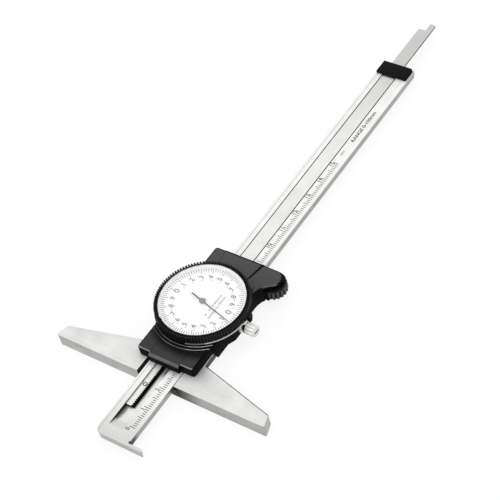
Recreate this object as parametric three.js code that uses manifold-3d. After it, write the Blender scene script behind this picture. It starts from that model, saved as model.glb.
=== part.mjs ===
// Dial depth gauge, 0 to 150 mm, lying on its back. Every length is in millimetres.
// +X points to the thumb roller, +Y along the beam away from the hook, +Z out of the dial.
// The origin is on the back of the slider, straight below the middle of the dial.
import * as THREE from 'three';
import Module from 'manifold-3d';

const wasm = await Module();
wasm.setup();

const mm = 1;
const half = 0.5;
const degree = Math.PI / 180;
const fullTurn = 360 * degree;
const quarterTurn = 90 * degree;
const halfTurn = 180 * degree;

// Clearances
const seatGap = 0.3 * mm;
const slideGap = 0.25 * mm;
const shaftGap = 0.08 * mm;
const cutOver = 1 * mm;
const weldGrain = 1e-4 * mm;

// Facets of round parts
const tinyFacets = 12;
const smallFacets = 18;
const midFacets = 32;
const wideFacets = 72;
const plainBreak = 1;
const roundedEdge = 2;
const faceCorners = 3;
const cornerSteps = 5;
const runoutSteps = 7;

// Base bar
const baseLength = 100 * mm;
const baseThick = 6.3 * mm;
const baseFrontY = -35 * mm;
const baseBackY = -20.9 * mm;
const baseTipDepth = 5.6 * mm;
const baseTipSlant = 1.6 * mm;
const baseTipBreak = 0.5 * mm;
const baseFloorTop = 2.8 * mm;

// Beam with its hook
const beamWidth = 15.7 * mm;
const beamThick = 3.2 * mm;
const beamLowBreak = 0.45 * mm;
const beamEndY = 155.6 * mm;
const beamEndBreakX = 0.9 * mm;
const beamEndBreakY = 2.4 * mm;
const hookOuterY = -65.6 * mm;
const hookThick = 1.4 * mm;
const hookTipX = 14.5 * mm;
const hookTipTaper = 0.9 * mm;
const hookTipBreak = 0.3 * mm;
const hookCornerRadius = 3.2 * mm;
const hookReliefDepth = 0.45 * mm;
const hookReliefWidth = 0.9 * mm;
const grooveLeftX = -4.6 * mm;
const grooveRightX = 2.27 * mm;
const grooveDepth = 2.2 * mm;
const grooveRunoutY = -49.5 * mm;
const grooveCutterRadius = 28 * mm;

// Slider body behind the base bar
const railWidth = 5.95 * mm;
const sliderBackY = 27.6 * mm;
const flangeBottom = 3.5 * mm;
const bossInset = 2.6 * mm;
const gibSlotRoom = 1 * mm;
const rollerBayY = 17.8 * mm;
const skirtStartY = -14.4 * mm;
const skirtInset = 0.6 * mm;

// Gib
const gibThick = 0.5 * mm;
const gibFrontY = -34.8 * mm;
const gibBackY = 27 * mm;
const gibScrewRadius = 0.9 * mm;
const gibScrewSpread = 12 * mm;
const gibScrewHeight = 4.9 * mm;

// Rack in the groove
const rackBackX = -4.3 * mm;
const rackTipX = -1.7 * mm;
const rackPitch = 1 * mm;
const rackToothTall = 0.6 * mm;
const rackTipShare = 0.28;
const rackRootShare = 0.56;
const rackThick = 0.85 * mm;
const rackStartY = -49.3 * mm;
const rackTeeth = 167;
const rackPitchInset = 0.25 * mm;
const rackScrewX = -3.3 * mm;
const rackScrewFirstY = -38.4 * mm;
const rackScrewLastY = 112.3 * mm;
const rackScrewHeadRadius = 0.72 * mm;
const rackScrewHeadTall = 0.4 * mm;
const rackScrewShankRadius = 0.4 * mm;
const rackScrewDepth = 0.5 * mm;
const rackScrewRing = 0.2 * mm;

// End stop over the far end of the beam
const stopFrontY = 147.4 * mm;
const stopBackY = 155 * mm;
const stopRightInset = 0.45 * mm;
const stopThick = 0.75 * mm;
const stopCorner = 1.3 * mm;
const stopSeat = 0.15 * mm;
const stopEdge = 0.2 * mm;
const stopSkin = 0.3 * mm;
const stopScrewLeftInset = 1.55 * mm;
const stopScrewRightInset = 2.85 * mm;
const stopScrewY = 151.2 * mm;
const stopScrewHeadRadius = 1.15 * mm;
const stopScrewHeadTall = 0.8 * mm;
const stopScrewShankRadius = 0.6 * mm;

// Depth rod
const rodThick = 0.65 * mm;
const rodRootY = 11.5 * mm;
const rodNotchLength = 4.6 * mm;
const rodSideGap = 0.2 * mm;
const rodNotchX = -1 * mm;
const rodTipCorner = 0.8 * mm;
const rodScrewFirstY = 13.6 * mm;
const rodScrewLastY = 17.6 * mm;
const reading = 29.2 * mm;

// Movement
const railGap = 0.3 * mm;
const plateThick = 0.8 * mm;
const plateFrontY = -19.6 * mm;
const plateBackY = 19.6 * mm;
const plateNotchX = 8.6 * mm;
const plateNotchY = 16.8 * mm;
const plateScrewLeftInset = 0.8 * mm;
const plateScrewRightInset = 1.3 * mm;
const plateScrewFrontY = -17.4 * mm;
const plateScrewRearLeftY = 17.4 * mm;
const plateScrewRearRightY = 14.6 * mm;
const screwHeadRadius = 1 * mm;
const screwHeadTall = 0.7 * mm;
const screwShankRadius = 0.6 * mm;
const screwDepth = 2 * mm;
const screwSeatGap = 0.1 * mm;
const slotWidth = 0.35 * mm;
const slotDepth = 0.3 * mm;
const bridgeRim = 2.98 * mm;
const bridgeBottom = 9.5 * mm;
const bridgeThick = 0.8 * mm;
const pillarRadius = 1.1 * mm;
const pillarNeckRadius = 0.6 * mm;
const pillarInset = 1.3 * mm;
const pillarAngles = [-31 * degree, 204 * degree, 90 * degree];
const pinionTeeth = 10;
const wheelTeeth = 40;
const centreTeeth = 8;
const gearModule = 0.33 * mm;
const toothRise = 0.25 * mm;
const toothDip = 0.35 * mm;
const pinionTipShare = 0.25;
const pinionRootShare = 0.5;
const wheelTipShare = 0.3;
const wheelRootShare = 0.55;
const arborRadius = 0.5 * mm;
const arborTop = 10.6 * mm;
const wheelThick = 0.35 * mm;
const mainWheelBottom = 7.85 * mm;
const backlashWheelBottom = 8.8 * mm;
const wheelSpringBottom = 8.38 * mm;
const wheelSpringThick = 0.25 * mm;
const wheelSpringRadius = 3.6 * mm;
const wheelSpringWidth = 0.3 * mm;
const wheelSpringSweep = 300 * degree;
const wheelHubHole = 0.6 * mm;
const centrePinionBottom = 7.75 * mm;
const centrePinionTop = 9.25 * mm;
const spindleRadius = 0.45 * mm;
const spindleTop = 14.95 * mm;

// Covers over the slider
const coverTop = 11.1 * mm;
const coverEdge = 0.7 * mm;
const coverFrontY = -28 * mm;
const coverBackY = 28.6 * mm;
const coverCorner = 1.4 * mm;
const centreFrontY = -29.2 * mm;
const centreBackY = 29.2 * mm;
const centreNose = 1.6 * mm;
const noseLift = 0.3 * mm;
const centreFrontHalf = 7.2 * mm;
const centreWaistHalf = 6.6 * mm;
const centreWaistY = -18 * mm;
const centreRearWaistRight = 8.1 * mm;
const centreRearWaistLeft = 6.4 * mm;
const centreRearWaistY = 18.6 * mm;
const centreBackRight = 10 * mm;
const centreBackLeft = 8.8 * mm;
const coverJoint = 0.12 * mm;
const coverPocketY = 19.9 * mm;
const coverPocketTop = 9.9 * mm;
const bridgeRoom = 0.4 * mm;
const lowStepWidth = 1.2 * mm;
const lowStepTall = 0.35 * mm;
const highStepWidth = 0.55 * mm;
const highStepTall = 0.8 * mm;
const stopRecessRoom = 0.45 * mm;
const stopRecessY = 24.4 * mm;
const stopRecessTop = 7.6 * mm;
const skirtStand = 0.9 * mm;
const skirtFrontY = -14.1 * mm;
const lugStand = 1.5 * mm;
const lugHalfLength = 3.9 * mm;
const lugRamp = 3.2 * mm;
const wingTipStand = 1.9 * mm;
const wingTipY = 24.2 * mm;
const wingTipRadius = 4.4 * mm;
const wingNeckStand = 6.55 * mm;
const wingNeckY = 13.1 * mm;
const wingThick = 1.4 * mm;
const coverScrewFrontInset = 1.9 * mm;
const coverScrewFrontY = -24 * mm;
const coverScrewFrontSeat = 1.1 * mm;
const coverScrewRearWall = 0.7 * mm;
const coverScrewRearSeat = 4.2 * mm;
const coverScrewLeftRearY = 22 * mm;
const coverScrewRightRearY = 8 * mm;
const coverScrewRadius = 0.5 * mm;
const coverScrewHeadRadius = 0.8 * mm;
const coverScrewHeadTall = 0.6 * mm;
const coverScrewTop = 8.4 * mm;

// Thumb roller with the wheel that drives the beam
const rollerStand = 0.3 * mm;
const rollerY = 24 * mm;
const rollerRadius = 5.6 * mm;
const rollerRibDepth = 0.65 * mm;
const rollerRibs = 18;
const ribTipShare = 0.45;
const ribRootShare = 0.8;
const rollerBottom = 4.3 * mm;
const rollerRibTop = 7.7 * mm;
const rollerTop = 9.4 * mm;
const rollerBayGap = 0.45 * mm;
const axleRadius = 1.2 * mm;
const axleHeadRadius = 2 * mm;
const axleHeadTall = 0.45 * mm;
const axleTop = 10.6 * mm;
const driveWheelGap = 0.175 * mm;
const driveWheelBottom = 3.9 * mm;
const driveWheelTop = 6.1 * mm;
const drivePinRadius = 0.5 * mm;
const drivePinBottom = 1.2 * mm;
const drivePinTop = 6.4 * mm;

// Dial case
const caseBottom = 12.2 * mm;
const caseFloor = 0.5 * mm;
const caseScrewEdge = 2.3 * mm;
const caseWall = 0.9 * mm;
const caseTop = 13.6 * mm;
const caseHole = 2.2 * mm;
const casePostRoom = 0.73 * mm;
const caseScrewAngles = [72 * degree, 250 * degree, 290 * degree];
const caseScrewHeadTall = 0.5 * mm;
const caseScrewDepth = 5.8 * mm;
const casePostRadius = 1.2 * mm;
const casePostBottom = 7.7 * mm;

// Bezel with the dial face, rim ring and crystal
const bezelTaper = 0.45 * mm;
const bezelWall = 1.2 * mm;
const bezelLipReach = 0.1 * mm;
const bezelBottom = 12.55 * mm;
const bezelTop = 16.3 * mm;
const bezelEdge = 0.35 * mm;
const bezelFlangeTall = 0.5 * mm;
const bezelFlange = 0.15 * mm;
const faceInset = 0.1 * mm;
const faceTop = 14.5 * mm;
const faceThick = 0.4 * mm;
const faceHole = 1 * mm;
const rimWidth = 1 * mm;
const rimGap = 0.35 * mm;
const rimTop = 15.7 * mm;
const rimLip = 0.2 * mm;
const crystalTop = 16.25 * mm;
const crystalThick = 0.4 * mm;
const bezelLip = 0.25 * mm;
const springRingInset = 0.1 * mm;
const springRingWidth = 0.65 * mm;
const springRingBottom = 13.72 * mm;
const springRingThick = 0.25 * mm;

// Pointer
const pointerTipGap = 0.35 * mm;
const pointerTail = 6.4 * mm;
const pointerRootWidth = 0.55 * mm;
const pointerTipWidth = 0.2 * mm;
const pointerTailWidth = 0.9 * mm;
const pointerThick = 0.15 * mm;
const pointerBottom = 14.72 * mm;
const pointerAngle = -15 * degree;
const pointerBoss = 0.95 * mm;
const hubRadius = 1.25 * mm;
const hubTop = 15.35 * mm;
const hubEdge = 0.12 * mm;

// Bezel clamp
const clampHeight = 9 * mm;
const clampHeadRadius = 2.5 * mm;
const clampNeckLength = 3.9 * mm;
const clampHeadLength = 4.5 * mm;
const clampRibs = 24;
const clampRibDepth = 0.16 * mm;
const clampNeckRadius = 1.3 * mm;
const clampThreadRadius = 0.95 * mm;
const clampThreadWall = 0.4 * mm;
const clampSlotWidth = 0.6 * mm;
const clampSlotDepth = 0.8 * mm;
const tongueGap = 1 * mm;
const tongueThick = 1.4 * mm;
const tongueHalfWidth = 2 * mm;
const tongueBottom = 6.9 * mm;
const tongueTop = 11.9 * mm;

// Sizes that follow from the ones above
const beamTop = baseThick;
const beamBottom = beamTop - beamThick;
const beamHalf = half * beamWidth;
const grooveFloor = beamTop - grooveDepth;
const hookInnerY = hookOuterY + hookThick;
const rodTop = beamTop - half * seatGap;
const rodBottom = rodTop - rodThick;
const rodTipY = beamEndY + reading;
const rackBottom = grooveFloor + seatGap;
const rackTop = rackBottom + rackThick;
const plateBottom = beamTop + railGap;
const plateTop = plateBottom + plateThick;
const bridgeTop = bridgeBottom + bridgeThick;
const sliderHalfWidth = beamHalf + railWidth;
const gibSlotX = -beamHalf - slideGap - gibThick - gibSlotRoom;
const grooveRunoutSweep = Math.acos(1 - (grooveDepth + half * cutOver) / grooveCutterRadius);
const stopRightX = beamHalf - stopRightInset;
const stopScrewLeftX = stopScrewLeftInset - beamHalf;
const stopScrewRightX = beamHalf - stopScrewRightInset;
const stopRecessHalf = beamHalf + stopRecessRoom;
const bossHalfWidth = sliderHalfWidth - bossInset;
const plateHalfWidth = bossHalfWidth;
const plateScrewLeftX = plateScrewLeftInset - plateHalfWidth;
const plateScrewRightX = plateHalfWidth - plateScrewRightInset;
const skirtInnerX = sliderHalfWidth - skirtInset;
const skirtX = sliderHalfWidth + skirtStand;
const lugX = skirtX + lugStand;
const wingTipX = skirtX + wingTipStand;
const wingNeckX = lugX + wingNeckStand;
const rollerX = wingTipX + rollerStand;
const coverHalfWidth = sliderHalfWidth - seatGap;
const coverPocketHalf = plateHalfWidth + seatGap;
const coverScrewFrontX = coverHalfWidth - coverScrewFrontInset;
const coverScrewRearX = coverPocketHalf + coverScrewRearWall;
const clampHeadStart = lugX + clampNeckLength;
const clampHeadEnd = clampHeadStart + clampHeadLength;
const clampThreadStart = skirtInnerX + seatGap + clampThreadWall;
const tongueStart = lugX + tongueGap;
const pinionPitchRadius = pinionTeeth * rackPitch / fullTurn;
const rackPitchX = rackTipX - rackPitchInset;
const arborX = rackPitchX + pinionPitchRadius;
const gearReach = half * gearModule * (wheelTeeth + centreTeeth);
const arborY = -Math.sqrt(gearReach * gearReach - arborX * arborX);
const wheelTipRadius = half * gearModule * wheelTeeth + toothRise;
const bridgeRadius = gearReach + bridgeRim;
const pillarRing = bridgeRadius - pillarInset;
const pillarSpots = pillarAngles.map((a) => [pillarRing * Math.cos(a), pillarRing * Math.sin(a)]);
const coverBore = bridgeRadius + bridgeRoom;
const centreRing = half * (coverBore + coverHalfWidth);
const caseScrewRing = gearReach + wheelTipRadius + casePostRoom;
const caseOuter = caseScrewRing + caseScrewEdge;
const faceRadius = caseOuter - faceInset;
const springRingOuter = faceRadius - springRingInset;
const springRingInner = springRingOuter - springRingWidth;
const bezelBore = caseOuter + seatGap;
const bezelMouth = bezelBore - bezelLipReach;
const bezelTopRadius = bezelBore + bezelWall;
const bezelRadius = bezelTopRadius + bezelTaper;
const crystalRadius = bezelBore - seatGap;
const rimOuter = bezelBore - rimGap;
const rimInner = rimOuter - rimWidth;
const pointerLength = rimInner - pointerTipGap;
const highStepRadius = bezelRadius + highStepWidth;
const lowStepRadius = highStepRadius + lowStepWidth;
const driveRoom = rollerX - rollerRadius - beamHalf;
const driveWheelX = beamHalf + half * driveRoom;
const driveWheelRadius = half * driveRoom - driveWheelGap;

// Makes a solid out of a closed surface
function solidOf(geometry) {
  const flat = geometry.index ? geometry.toNonIndexed() : geometry;
  const places = flat.getAttribute('position');
  const corners = new Map();
  const points = [];
  const faces = [];
  for (let i = 0; i < places.count; i += 1) {
    const spot = [places.getX(i), places.getY(i), places.getZ(i)];
    const key = spot.map((value) => Math.round(value / weldGrain)).join();
    if (!corners.has(key)) {
      corners.set(key, corners.size);
      points.push(...spot);
    }
    faces.push(corners.get(key));
  }
  const kept = [];
  for (let i = 0; i < faces.length; i += faceCorners) {
    const [a, b, c] = faces.slice(i, i + faceCorners);
    if (a !== b && b !== c && c !== a) kept.push(a, b, c);
  }
  const mesh = new wasm.Mesh({
    numProp: faceCorners,
    vertProperties: new Float32Array(points),
    triVerts: new Uint32Array(kept),
  });
  mesh.merge();
  return new wasm.Manifold(mesh);
}

function shapeOf(outline) {
  return new THREE.Shape(outline.map(([x, y]) => new THREE.Vector2(x, y)));
}

// Upright slab with the given outline, from one height to another
function slab(outline, bottom, top) {
  const geometry = new THREE.ExtrudeGeometry(shapeOf(outline), { depth: top - bottom, bevelEnabled: false });
  geometry.translate(0, 0, bottom);
  return solidOf(geometry);
}

// Slab whose top edge is broken all round
function crownedSlab(outline, bottom, top, edge, steps) {
  const geometry = new THREE.ExtrudeGeometry(shapeOf(outline), {
    depth: top - bottom,
    bevelEnabled: true,
    bevelThickness: edge,
    bevelSize: edge,
    bevelOffset: -edge,
    bevelSegments: steps,
  });
  geometry.translate(0, 0, bottom - edge);
  const whole = solidOf(geometry);
  return whole.trimByPlane([0, 0, 1], bottom);
}

function box(left, right, front, back, bottom, top) {
  return slab([[left, front], [right, front], [right, back], [left, back]], bottom, top);
}

// Round piece from a profile of radius and height pairs that closes on itself or on the axis
function turned(profile, facets) {
  const points = profile.map(([radius, height]) => new THREE.Vector2(radius, height));
  const onAxis = profile[0][0] === 0;
  if (!onAxis) points.push(points[0].clone());
  const geometry = new THREE.LatheGeometry(points, facets);
  geometry.rotateX(quarterTurn);
  return solidOf(geometry);
}

function rod(radius, bottom, top, facets) {
  return turned([[0, bottom], [radius, bottom], [radius, top], [0, top]], facets);
}

function at(solid, x, y) {
  return solid.translate([x, y, 0]);
}

// Lays a solid that stands on the axis down along +X, at the given place across and height
function alongX(solid, y, height) {
  return solid.rotate([0, quarterTurn / degree, 0]).translate([0, y, height]);
}

// Bar whose section is drawn in Y and Z, from one X to another
function across(section, left, right) {
  const geometry = new THREE.ExtrudeGeometry(shapeOf(section), { depth: right - left, bevelEnabled: false });
  const turn = new THREE.Matrix4().makeBasis(
    new THREE.Vector3(0, 1, 0), new THREE.Vector3(0, 0, 1), new THREE.Vector3(1, 0, 0),
  );
  geometry.applyMatrix4(turn);
  geometry.translate(left, 0, 0);
  return solidOf(geometry);
}

function ringPoints(count, placer) {
  return Array.from({ length: count }, (unused, i) => placer(i)).flat();
}

// Outline of a toothed wheel whose teeth have straight sides
function toothedOutline(teeth, pitchRadius, rise, dip, tipShare, rootShare, firstTooth) {
  const step = fullTurn / teeth;
  return ringPoints(teeth, (i) => {
    const middle = firstTooth + i * step;
    const tip = half * tipShare * step;
    const root = half * rootShare * step;
    const corners = [
      [pitchRadius - dip, middle - root],
      [pitchRadius + rise, middle - tip],
      [pitchRadius + rise, middle + tip],
      [pitchRadius - dip, middle + root],
    ];
    return corners.map(([radius, angle]) => [radius * Math.cos(angle), radius * Math.sin(angle)]);
  });
}

// Points of an arc from one angle to another
function arc(x, y, radius, from, to, steps) {
  return Array.from({ length: steps + 1 }, (unused, i) => {
    const angle = from + (to - from) * i / steps;
    return [x + radius * Math.cos(angle), y + radius * Math.sin(angle)];
  });
}

// Screw standing head up with its seat at the given height
function slottedScrew(headRadius, headTall, shankRadius, depth, seat) {
  const profile = [
    [0, seat - depth],
    [shankRadius, seat - depth],
    [shankRadius, seat],
    [headRadius, seat],
    [headRadius, seat + headTall],
    [0, seat + headTall],
  ];
  const cut = box(
    -headRadius - cutOver, headRadius + cutOver,
    -half * slotWidth, half * slotWidth,
    seat + headTall - Math.min(slotDepth, half * headTall), seat + headTall + cutOver,
  );
  return turned(profile, tinyFacets).subtract(cut);
}

const group = new THREE.Group();

function addNode(name, solid, [colour, roughness, metalness]) {
  const data = solid.getMesh();
  const geometry = new THREE.BufferGeometry();
  const places = new Float32Array(data.vertProperties);
  geometry.setAttribute('position', new THREE.BufferAttribute(places, data.numProp));
  geometry.setIndex(new THREE.BufferAttribute(new Uint32Array(data.triVerts), 1));
  geometry.computeVertexNormals();
  const material = new THREE.MeshStandardMaterial({ color: colour, roughness, metalness });
  const mesh = new THREE.Mesh(geometry, material);
  mesh.name = name;
  group.add(mesh);
}

const steel = ['#c9cac6', 0.35, 1];
const darkSteel = ['#6f706e', 0.4, 1];
const brass = ['#b99a4f', 0.35, 1];
const plastic = ['#3c3c3c', 0.55, 0];
const gloss = ['#141414', 0.3, 0];
const chrome = ['#e4e4dc', 0.15, 1];
const dialWhite = ['#fbfbfb', 0.5, 0];
const rimGrey = ['#dededc', 0.5, 0];
const glass = ['#f4f8fa', 0.05, 0];
const pointerGrey = ['#5c5c5c', 0.5, 0];
const hubMetal = ['#8c8c8c', 0.4, 1];

// Base bar and slider body, ground from one steel blank
const plateScrewSpots = [
  [plateScrewLeftX, plateScrewFrontY],
  [plateScrewRightX, plateScrewFrontY],
  [plateScrewLeftX, plateScrewRearLeftY],
  [plateScrewRightX, plateScrewRearRightY],
];
const coverScrewSpots = [
  ['left_front', -coverScrewFrontX, coverScrewFrontY, coverScrewFrontSeat],
  ['right_front', coverScrewFrontX, coverScrewFrontY, coverScrewFrontSeat],
  ['left_rear', -coverScrewRearX, coverScrewLeftRearY, coverScrewRearSeat],
  ['right_rear', coverScrewRearX, coverScrewRightRearY, coverScrewRearSeat],
];
const plateScrewSeat = plateTop + screwSeatGap;
const gibScrewOuterX = -sliderHalfWidth + seatGap;
const gibOuterX = -beamHalf - slideGap - gibThick;
{
  const tipX = half * baseLength;
  const right = [
    [tipX - baseTipBreak, baseFrontY],
    [tipX, baseFrontY + baseTipBreak],
    [tipX - baseTipSlant, baseFrontY + baseTipDepth],
    [sliderHalfWidth, baseBackY],
  ];
  const left = right.map(([x, y]) => [-x, y]).reverse();
  const behind = baseBackY - cutOver;
  const above = baseThick + cutOver;
  let body = slab([...right, ...left], 0, baseThick);
  body = body.add(box(-sliderHalfWidth, sliderHalfWidth, behind, sliderBackY, flangeBottom, baseThick));
  body = body.add(box(-bossHalfWidth, bossHalfWidth, behind, sliderBackY, 0, flangeBottom + cutOver));
  const channelRight = beamHalf + slideGap;
  const beyond = sliderBackY + cutOver;
  body = body.subtract(box(gibSlotX, channelRight, baseFrontY - cutOver, beyond, baseFloorTop, above));
  const outside = sliderHalfWidth + cutOver;
  body = body.subtract(box(beamHalf, outside, rollerBayY, beyond, baseFloorTop, above));
  body = body.subtract(box(skirtInnerX, outside, skirtStartY, beyond, 0, above));
  const plateHoleBottom = plateScrewSeat - screwDepth - seatGap;
  const plateHole = rod(screwShankRadius + shaftGap, plateHoleBottom, above, tinyFacets);
  for (const [x, y] of plateScrewSpots) body = body.subtract(at(plateHole, x, y));
  for (const [, x, y, seat] of coverScrewSpots) {
    body = body.subtract(at(rod(coverScrewRadius + shaftGap, -cutOver, above, tinyFacets), x, y));
    body = body.subtract(at(rod(coverScrewHeadRadius + shaftGap, -cutOver, seat, tinyFacets), x, y));
  }
  const pinHole = rod(drivePinRadius + shaftGap, drivePinBottom - seatGap, above, tinyFacets);
  body = body.subtract(at(pinHole, driveWheelX, rollerY));
  const gibBore = rod(gibScrewRadius + shaftGap, -outside, gibSlotX + cutOver, tinyFacets);
  const gibHole = alongX(gibBore, 0, gibScrewHeight);
  for (const y of [-gibScrewSpread, gibScrewSpread]) body = body.subtract(gibHole.translate([0, y, 0]));
  addNode('base_frame', body, steel);
}

// Gib strip that takes up side play, with its two set screws
addNode('gib_strip', box(gibOuterX, gibOuterX + gibThick, gibFrontY, gibBackY, beamBottom, beamTop), steel);
for (const [name, y] of [['gib_screw_front', -gibScrewSpread], ['gib_screw_rear', gibScrewSpread]]) {
  const shank = rod(gibScrewRadius, gibScrewOuterX, gibOuterX - shaftGap, tinyFacets);
  const stem = alongX(shank, y, gibScrewHeight);
  const slotEnd = gibScrewOuterX + slotDepth;
  const slotCut = box(
    gibScrewOuterX - cutOver, slotEnd, y - half * slotWidth, y + half * slotWidth,
    gibScrewHeight - gibScrewRadius - cutOver, gibScrewHeight + gibScrewRadius + cutOver,
  );
  addNode(name, stem.subtract(slotCut), darkSteel);
}

// Beam with the hook at its near end and the groove for rack and rod
{
  const cornerX = -beamHalf + hookCornerRadius;
  const cornerY = hookOuterY + hookCornerRadius;
  const reliefX = beamHalf - hookReliefDepth;
  const reliefY = hookInnerY + hookReliefWidth;
  const hook = slab([
    ...arc(cornerX, cornerY, hookCornerRadius, halfTurn, halfTurn + quarterTurn, cornerSteps),
    [hookTipX - hookTipBreak, hookOuterY],
    [hookTipX, hookOuterY + hookTipBreak],
    [hookTipX - hookTipTaper, hookInnerY],
    [reliefX, hookInnerY],
    [reliefX, reliefY + cutOver],
    [-beamHalf, reliefY + cutOver],
  ], beamBottom, beamTop);
  const blade = crownedSlab([
    [-beamHalf, reliefY],
    [beamHalf, reliefY],
    [beamHalf, beamEndY - beamEndBreakY],
    [beamHalf - beamEndBreakX, beamEndY],
    [-beamHalf, beamEndY],
  ], -beamTop, -beamBottom, beamLowBreak, plainBreak).mirror([0, 0, 1]);
  let beam = hook.add(blade);
  const floorArc = arc(
    grooveRunoutY, grooveFloor + grooveCutterRadius, grooveCutterRadius,
    -quarterTurn, -quarterTurn - grooveRunoutSweep, runoutSteps,
  );
  const grooveSide = [
    ...floorArc,
    [floorArc[runoutSteps][0], beamTop + cutOver],
    [beamEndY + cutOver, beamTop + cutOver],
    [beamEndY + cutOver, grooveFloor],
  ].reverse();
  beam = beam.subtract(across(grooveSide, grooveLeftX, grooveRightX));
  const rackHoleBottom = grooveFloor - rackScrewDepth - shaftGap;
  const rackHole = rod(rackScrewShankRadius + shaftGap, rackHoleBottom, beamTop, tinyFacets);
  for (const y of [rackScrewFirstY, rackScrewLastY]) beam = beam.subtract(at(rackHole, rackScrewX, y));
  const stopHole = rod(stopScrewShankRadius + shaftGap, beamBottom - cutOver, beamTop + cutOver, tinyFacets);
  const stopSeatTop = beamBottom + stopScrewHeadTall;
  const stopSink = rod(stopScrewHeadRadius + shaftGap, beamBottom - cutOver, stopSeatTop, tinyFacets);
  for (const x of [stopScrewLeftX, stopScrewRightX]) {
    beam = beam.subtract(at(stopHole, x, stopScrewY)).subtract(at(stopSink, x, stopScrewY));
  }
  addNode('beam', beam, steel);
}

// Toothed rack screwed into the groove
const toothStart = arborY + half * rackPitch;
const teethBefore = Math.floor((toothStart - rackStartY) / rackPitch - half);
{
  const firstTooth = toothStart - teethBefore * rackPitch;
  const rootX = rackTipX - rackToothTall;
  const teeth = ringPoints(rackTeeth, (i) => {
    const middle = firstTooth + i * rackPitch;
    const root = half * rackRootShare * rackPitch;
    const tip = half * rackTipShare * rackPitch;
    return [
      [rootX, middle - root],
      [rackTipX, middle - tip],
      [rackTipX, middle + tip],
      [rootX, middle + root],
    ];
  });
  const endY = firstTooth + rackTeeth * rackPitch;
  const outline = [[rackBackX, rackStartY], [rootX, rackStartY], ...teeth, [rootX, endY], [rackBackX, endY]];
  let rack = slab(outline, rackBottom, rackTop);
  const hole = rod(rackScrewShankRadius + shaftGap, rackBottom - cutOver, rackTop + cutOver, tinyFacets);
  const sinkBottom = rackTop - rackScrewHeadTall;
  const sink = rod(rackScrewHeadRadius + rackScrewRing, sinkBottom, rackTop + cutOver, tinyFacets);
  for (const y of [rackScrewFirstY, rackScrewLastY]) {
    rack = rack.subtract(at(hole, rackScrewX, y)).subtract(at(sink, rackScrewX, y));
  }
  addNode('rack', rack, steel);
  const seat = rackTop - rackScrewHeadTall + shaftGap;
  const depth = seat - grooveFloor + rackScrewDepth;
  const screw = slottedScrew(rackScrewHeadRadius, rackScrewHeadTall, rackScrewShankRadius, depth, seat);
  addNode('rack_screw_front', at(screw, rackScrewX, rackScrewFirstY), darkSteel);
  addNode('rack_screw_rear', at(screw, rackScrewX, rackScrewLastY), darkSteel);
}

// Stop block over the far end, held by two screws from below
{
  const bottom = beamTop + stopSeat;
  const top = bottom + stopThick;
  const outline = [
    [-beamHalf, stopFrontY],
    [stopRightX, stopFrontY],
    [stopRightX, stopBackY - stopCorner],
    [stopRightX - stopCorner, stopBackY],
    [-beamHalf, stopBackY],
  ];
  let block = crownedSlab(outline, bottom, top, stopEdge, plainBreak);
  const hole = rod(stopScrewShankRadius + shaftGap, bottom - cutOver, top - stopSkin, tinyFacets);
  for (const x of [stopScrewLeftX, stopScrewRightX]) block = block.subtract(at(hole, x, stopScrewY));
  addNode('end_stop', block, plastic);
  const shankTop = top - stopSkin - shaftGap;
  const headTop = beamBottom + stopScrewHeadTall - shaftGap;
  const profile = [
    [0, beamBottom + shaftGap],
    [stopScrewHeadRadius, beamBottom + shaftGap],
    [stopScrewHeadRadius, headTop],
    [stopScrewShankRadius, headTop],
    [stopScrewShankRadius, shankTop],
    [0, shankTop],
  ];
  addNode('end_stop_screw_left', at(turned(profile, tinyFacets), stopScrewLeftX, stopScrewY), darkSteel);
  addNode('end_stop_screw_right', at(turned(profile, tinyFacets), stopScrewRightX, stopScrewY), darkSteel);
}

// Depth rod, a thin strip over the rack, with a stepped measuring tip
{
  const left = grooveLeftX + rodSideGap;
  const right = grooveRightX - rodSideGap;
  const outline = [
    [left, rodRootY],
    [right, rodRootY],
    [right, rodTipY - rodTipCorner],
    [right - rodTipCorner, rodTipY],
    [rodNotchX, rodTipY],
    [rodNotchX, rodTipY - rodNotchLength],
    [left, rodTipY - rodNotchLength],
  ];
  let strip = slab(outline, rodBottom, rodTop);
  const hole = rod(screwShankRadius + shaftGap, rodBottom - cutOver, rodTop + cutOver, tinyFacets);
  const middle = half * (left + right);
  const depth = plateScrewSeat - rodBottom;
  const screw = slottedScrew(screwHeadRadius, screwHeadTall, screwShankRadius, depth, plateScrewSeat);
  for (const [name, y] of [['rod_screw_front', rodScrewFirstY], ['rod_screw_rear', rodScrewLastY]]) {
    strip = strip.subtract(at(hole, middle, y));
    addNode(name, at(screw, middle, y), darkSteel);
  }
  addNode('depth_rod', strip, steel);
}

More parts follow.
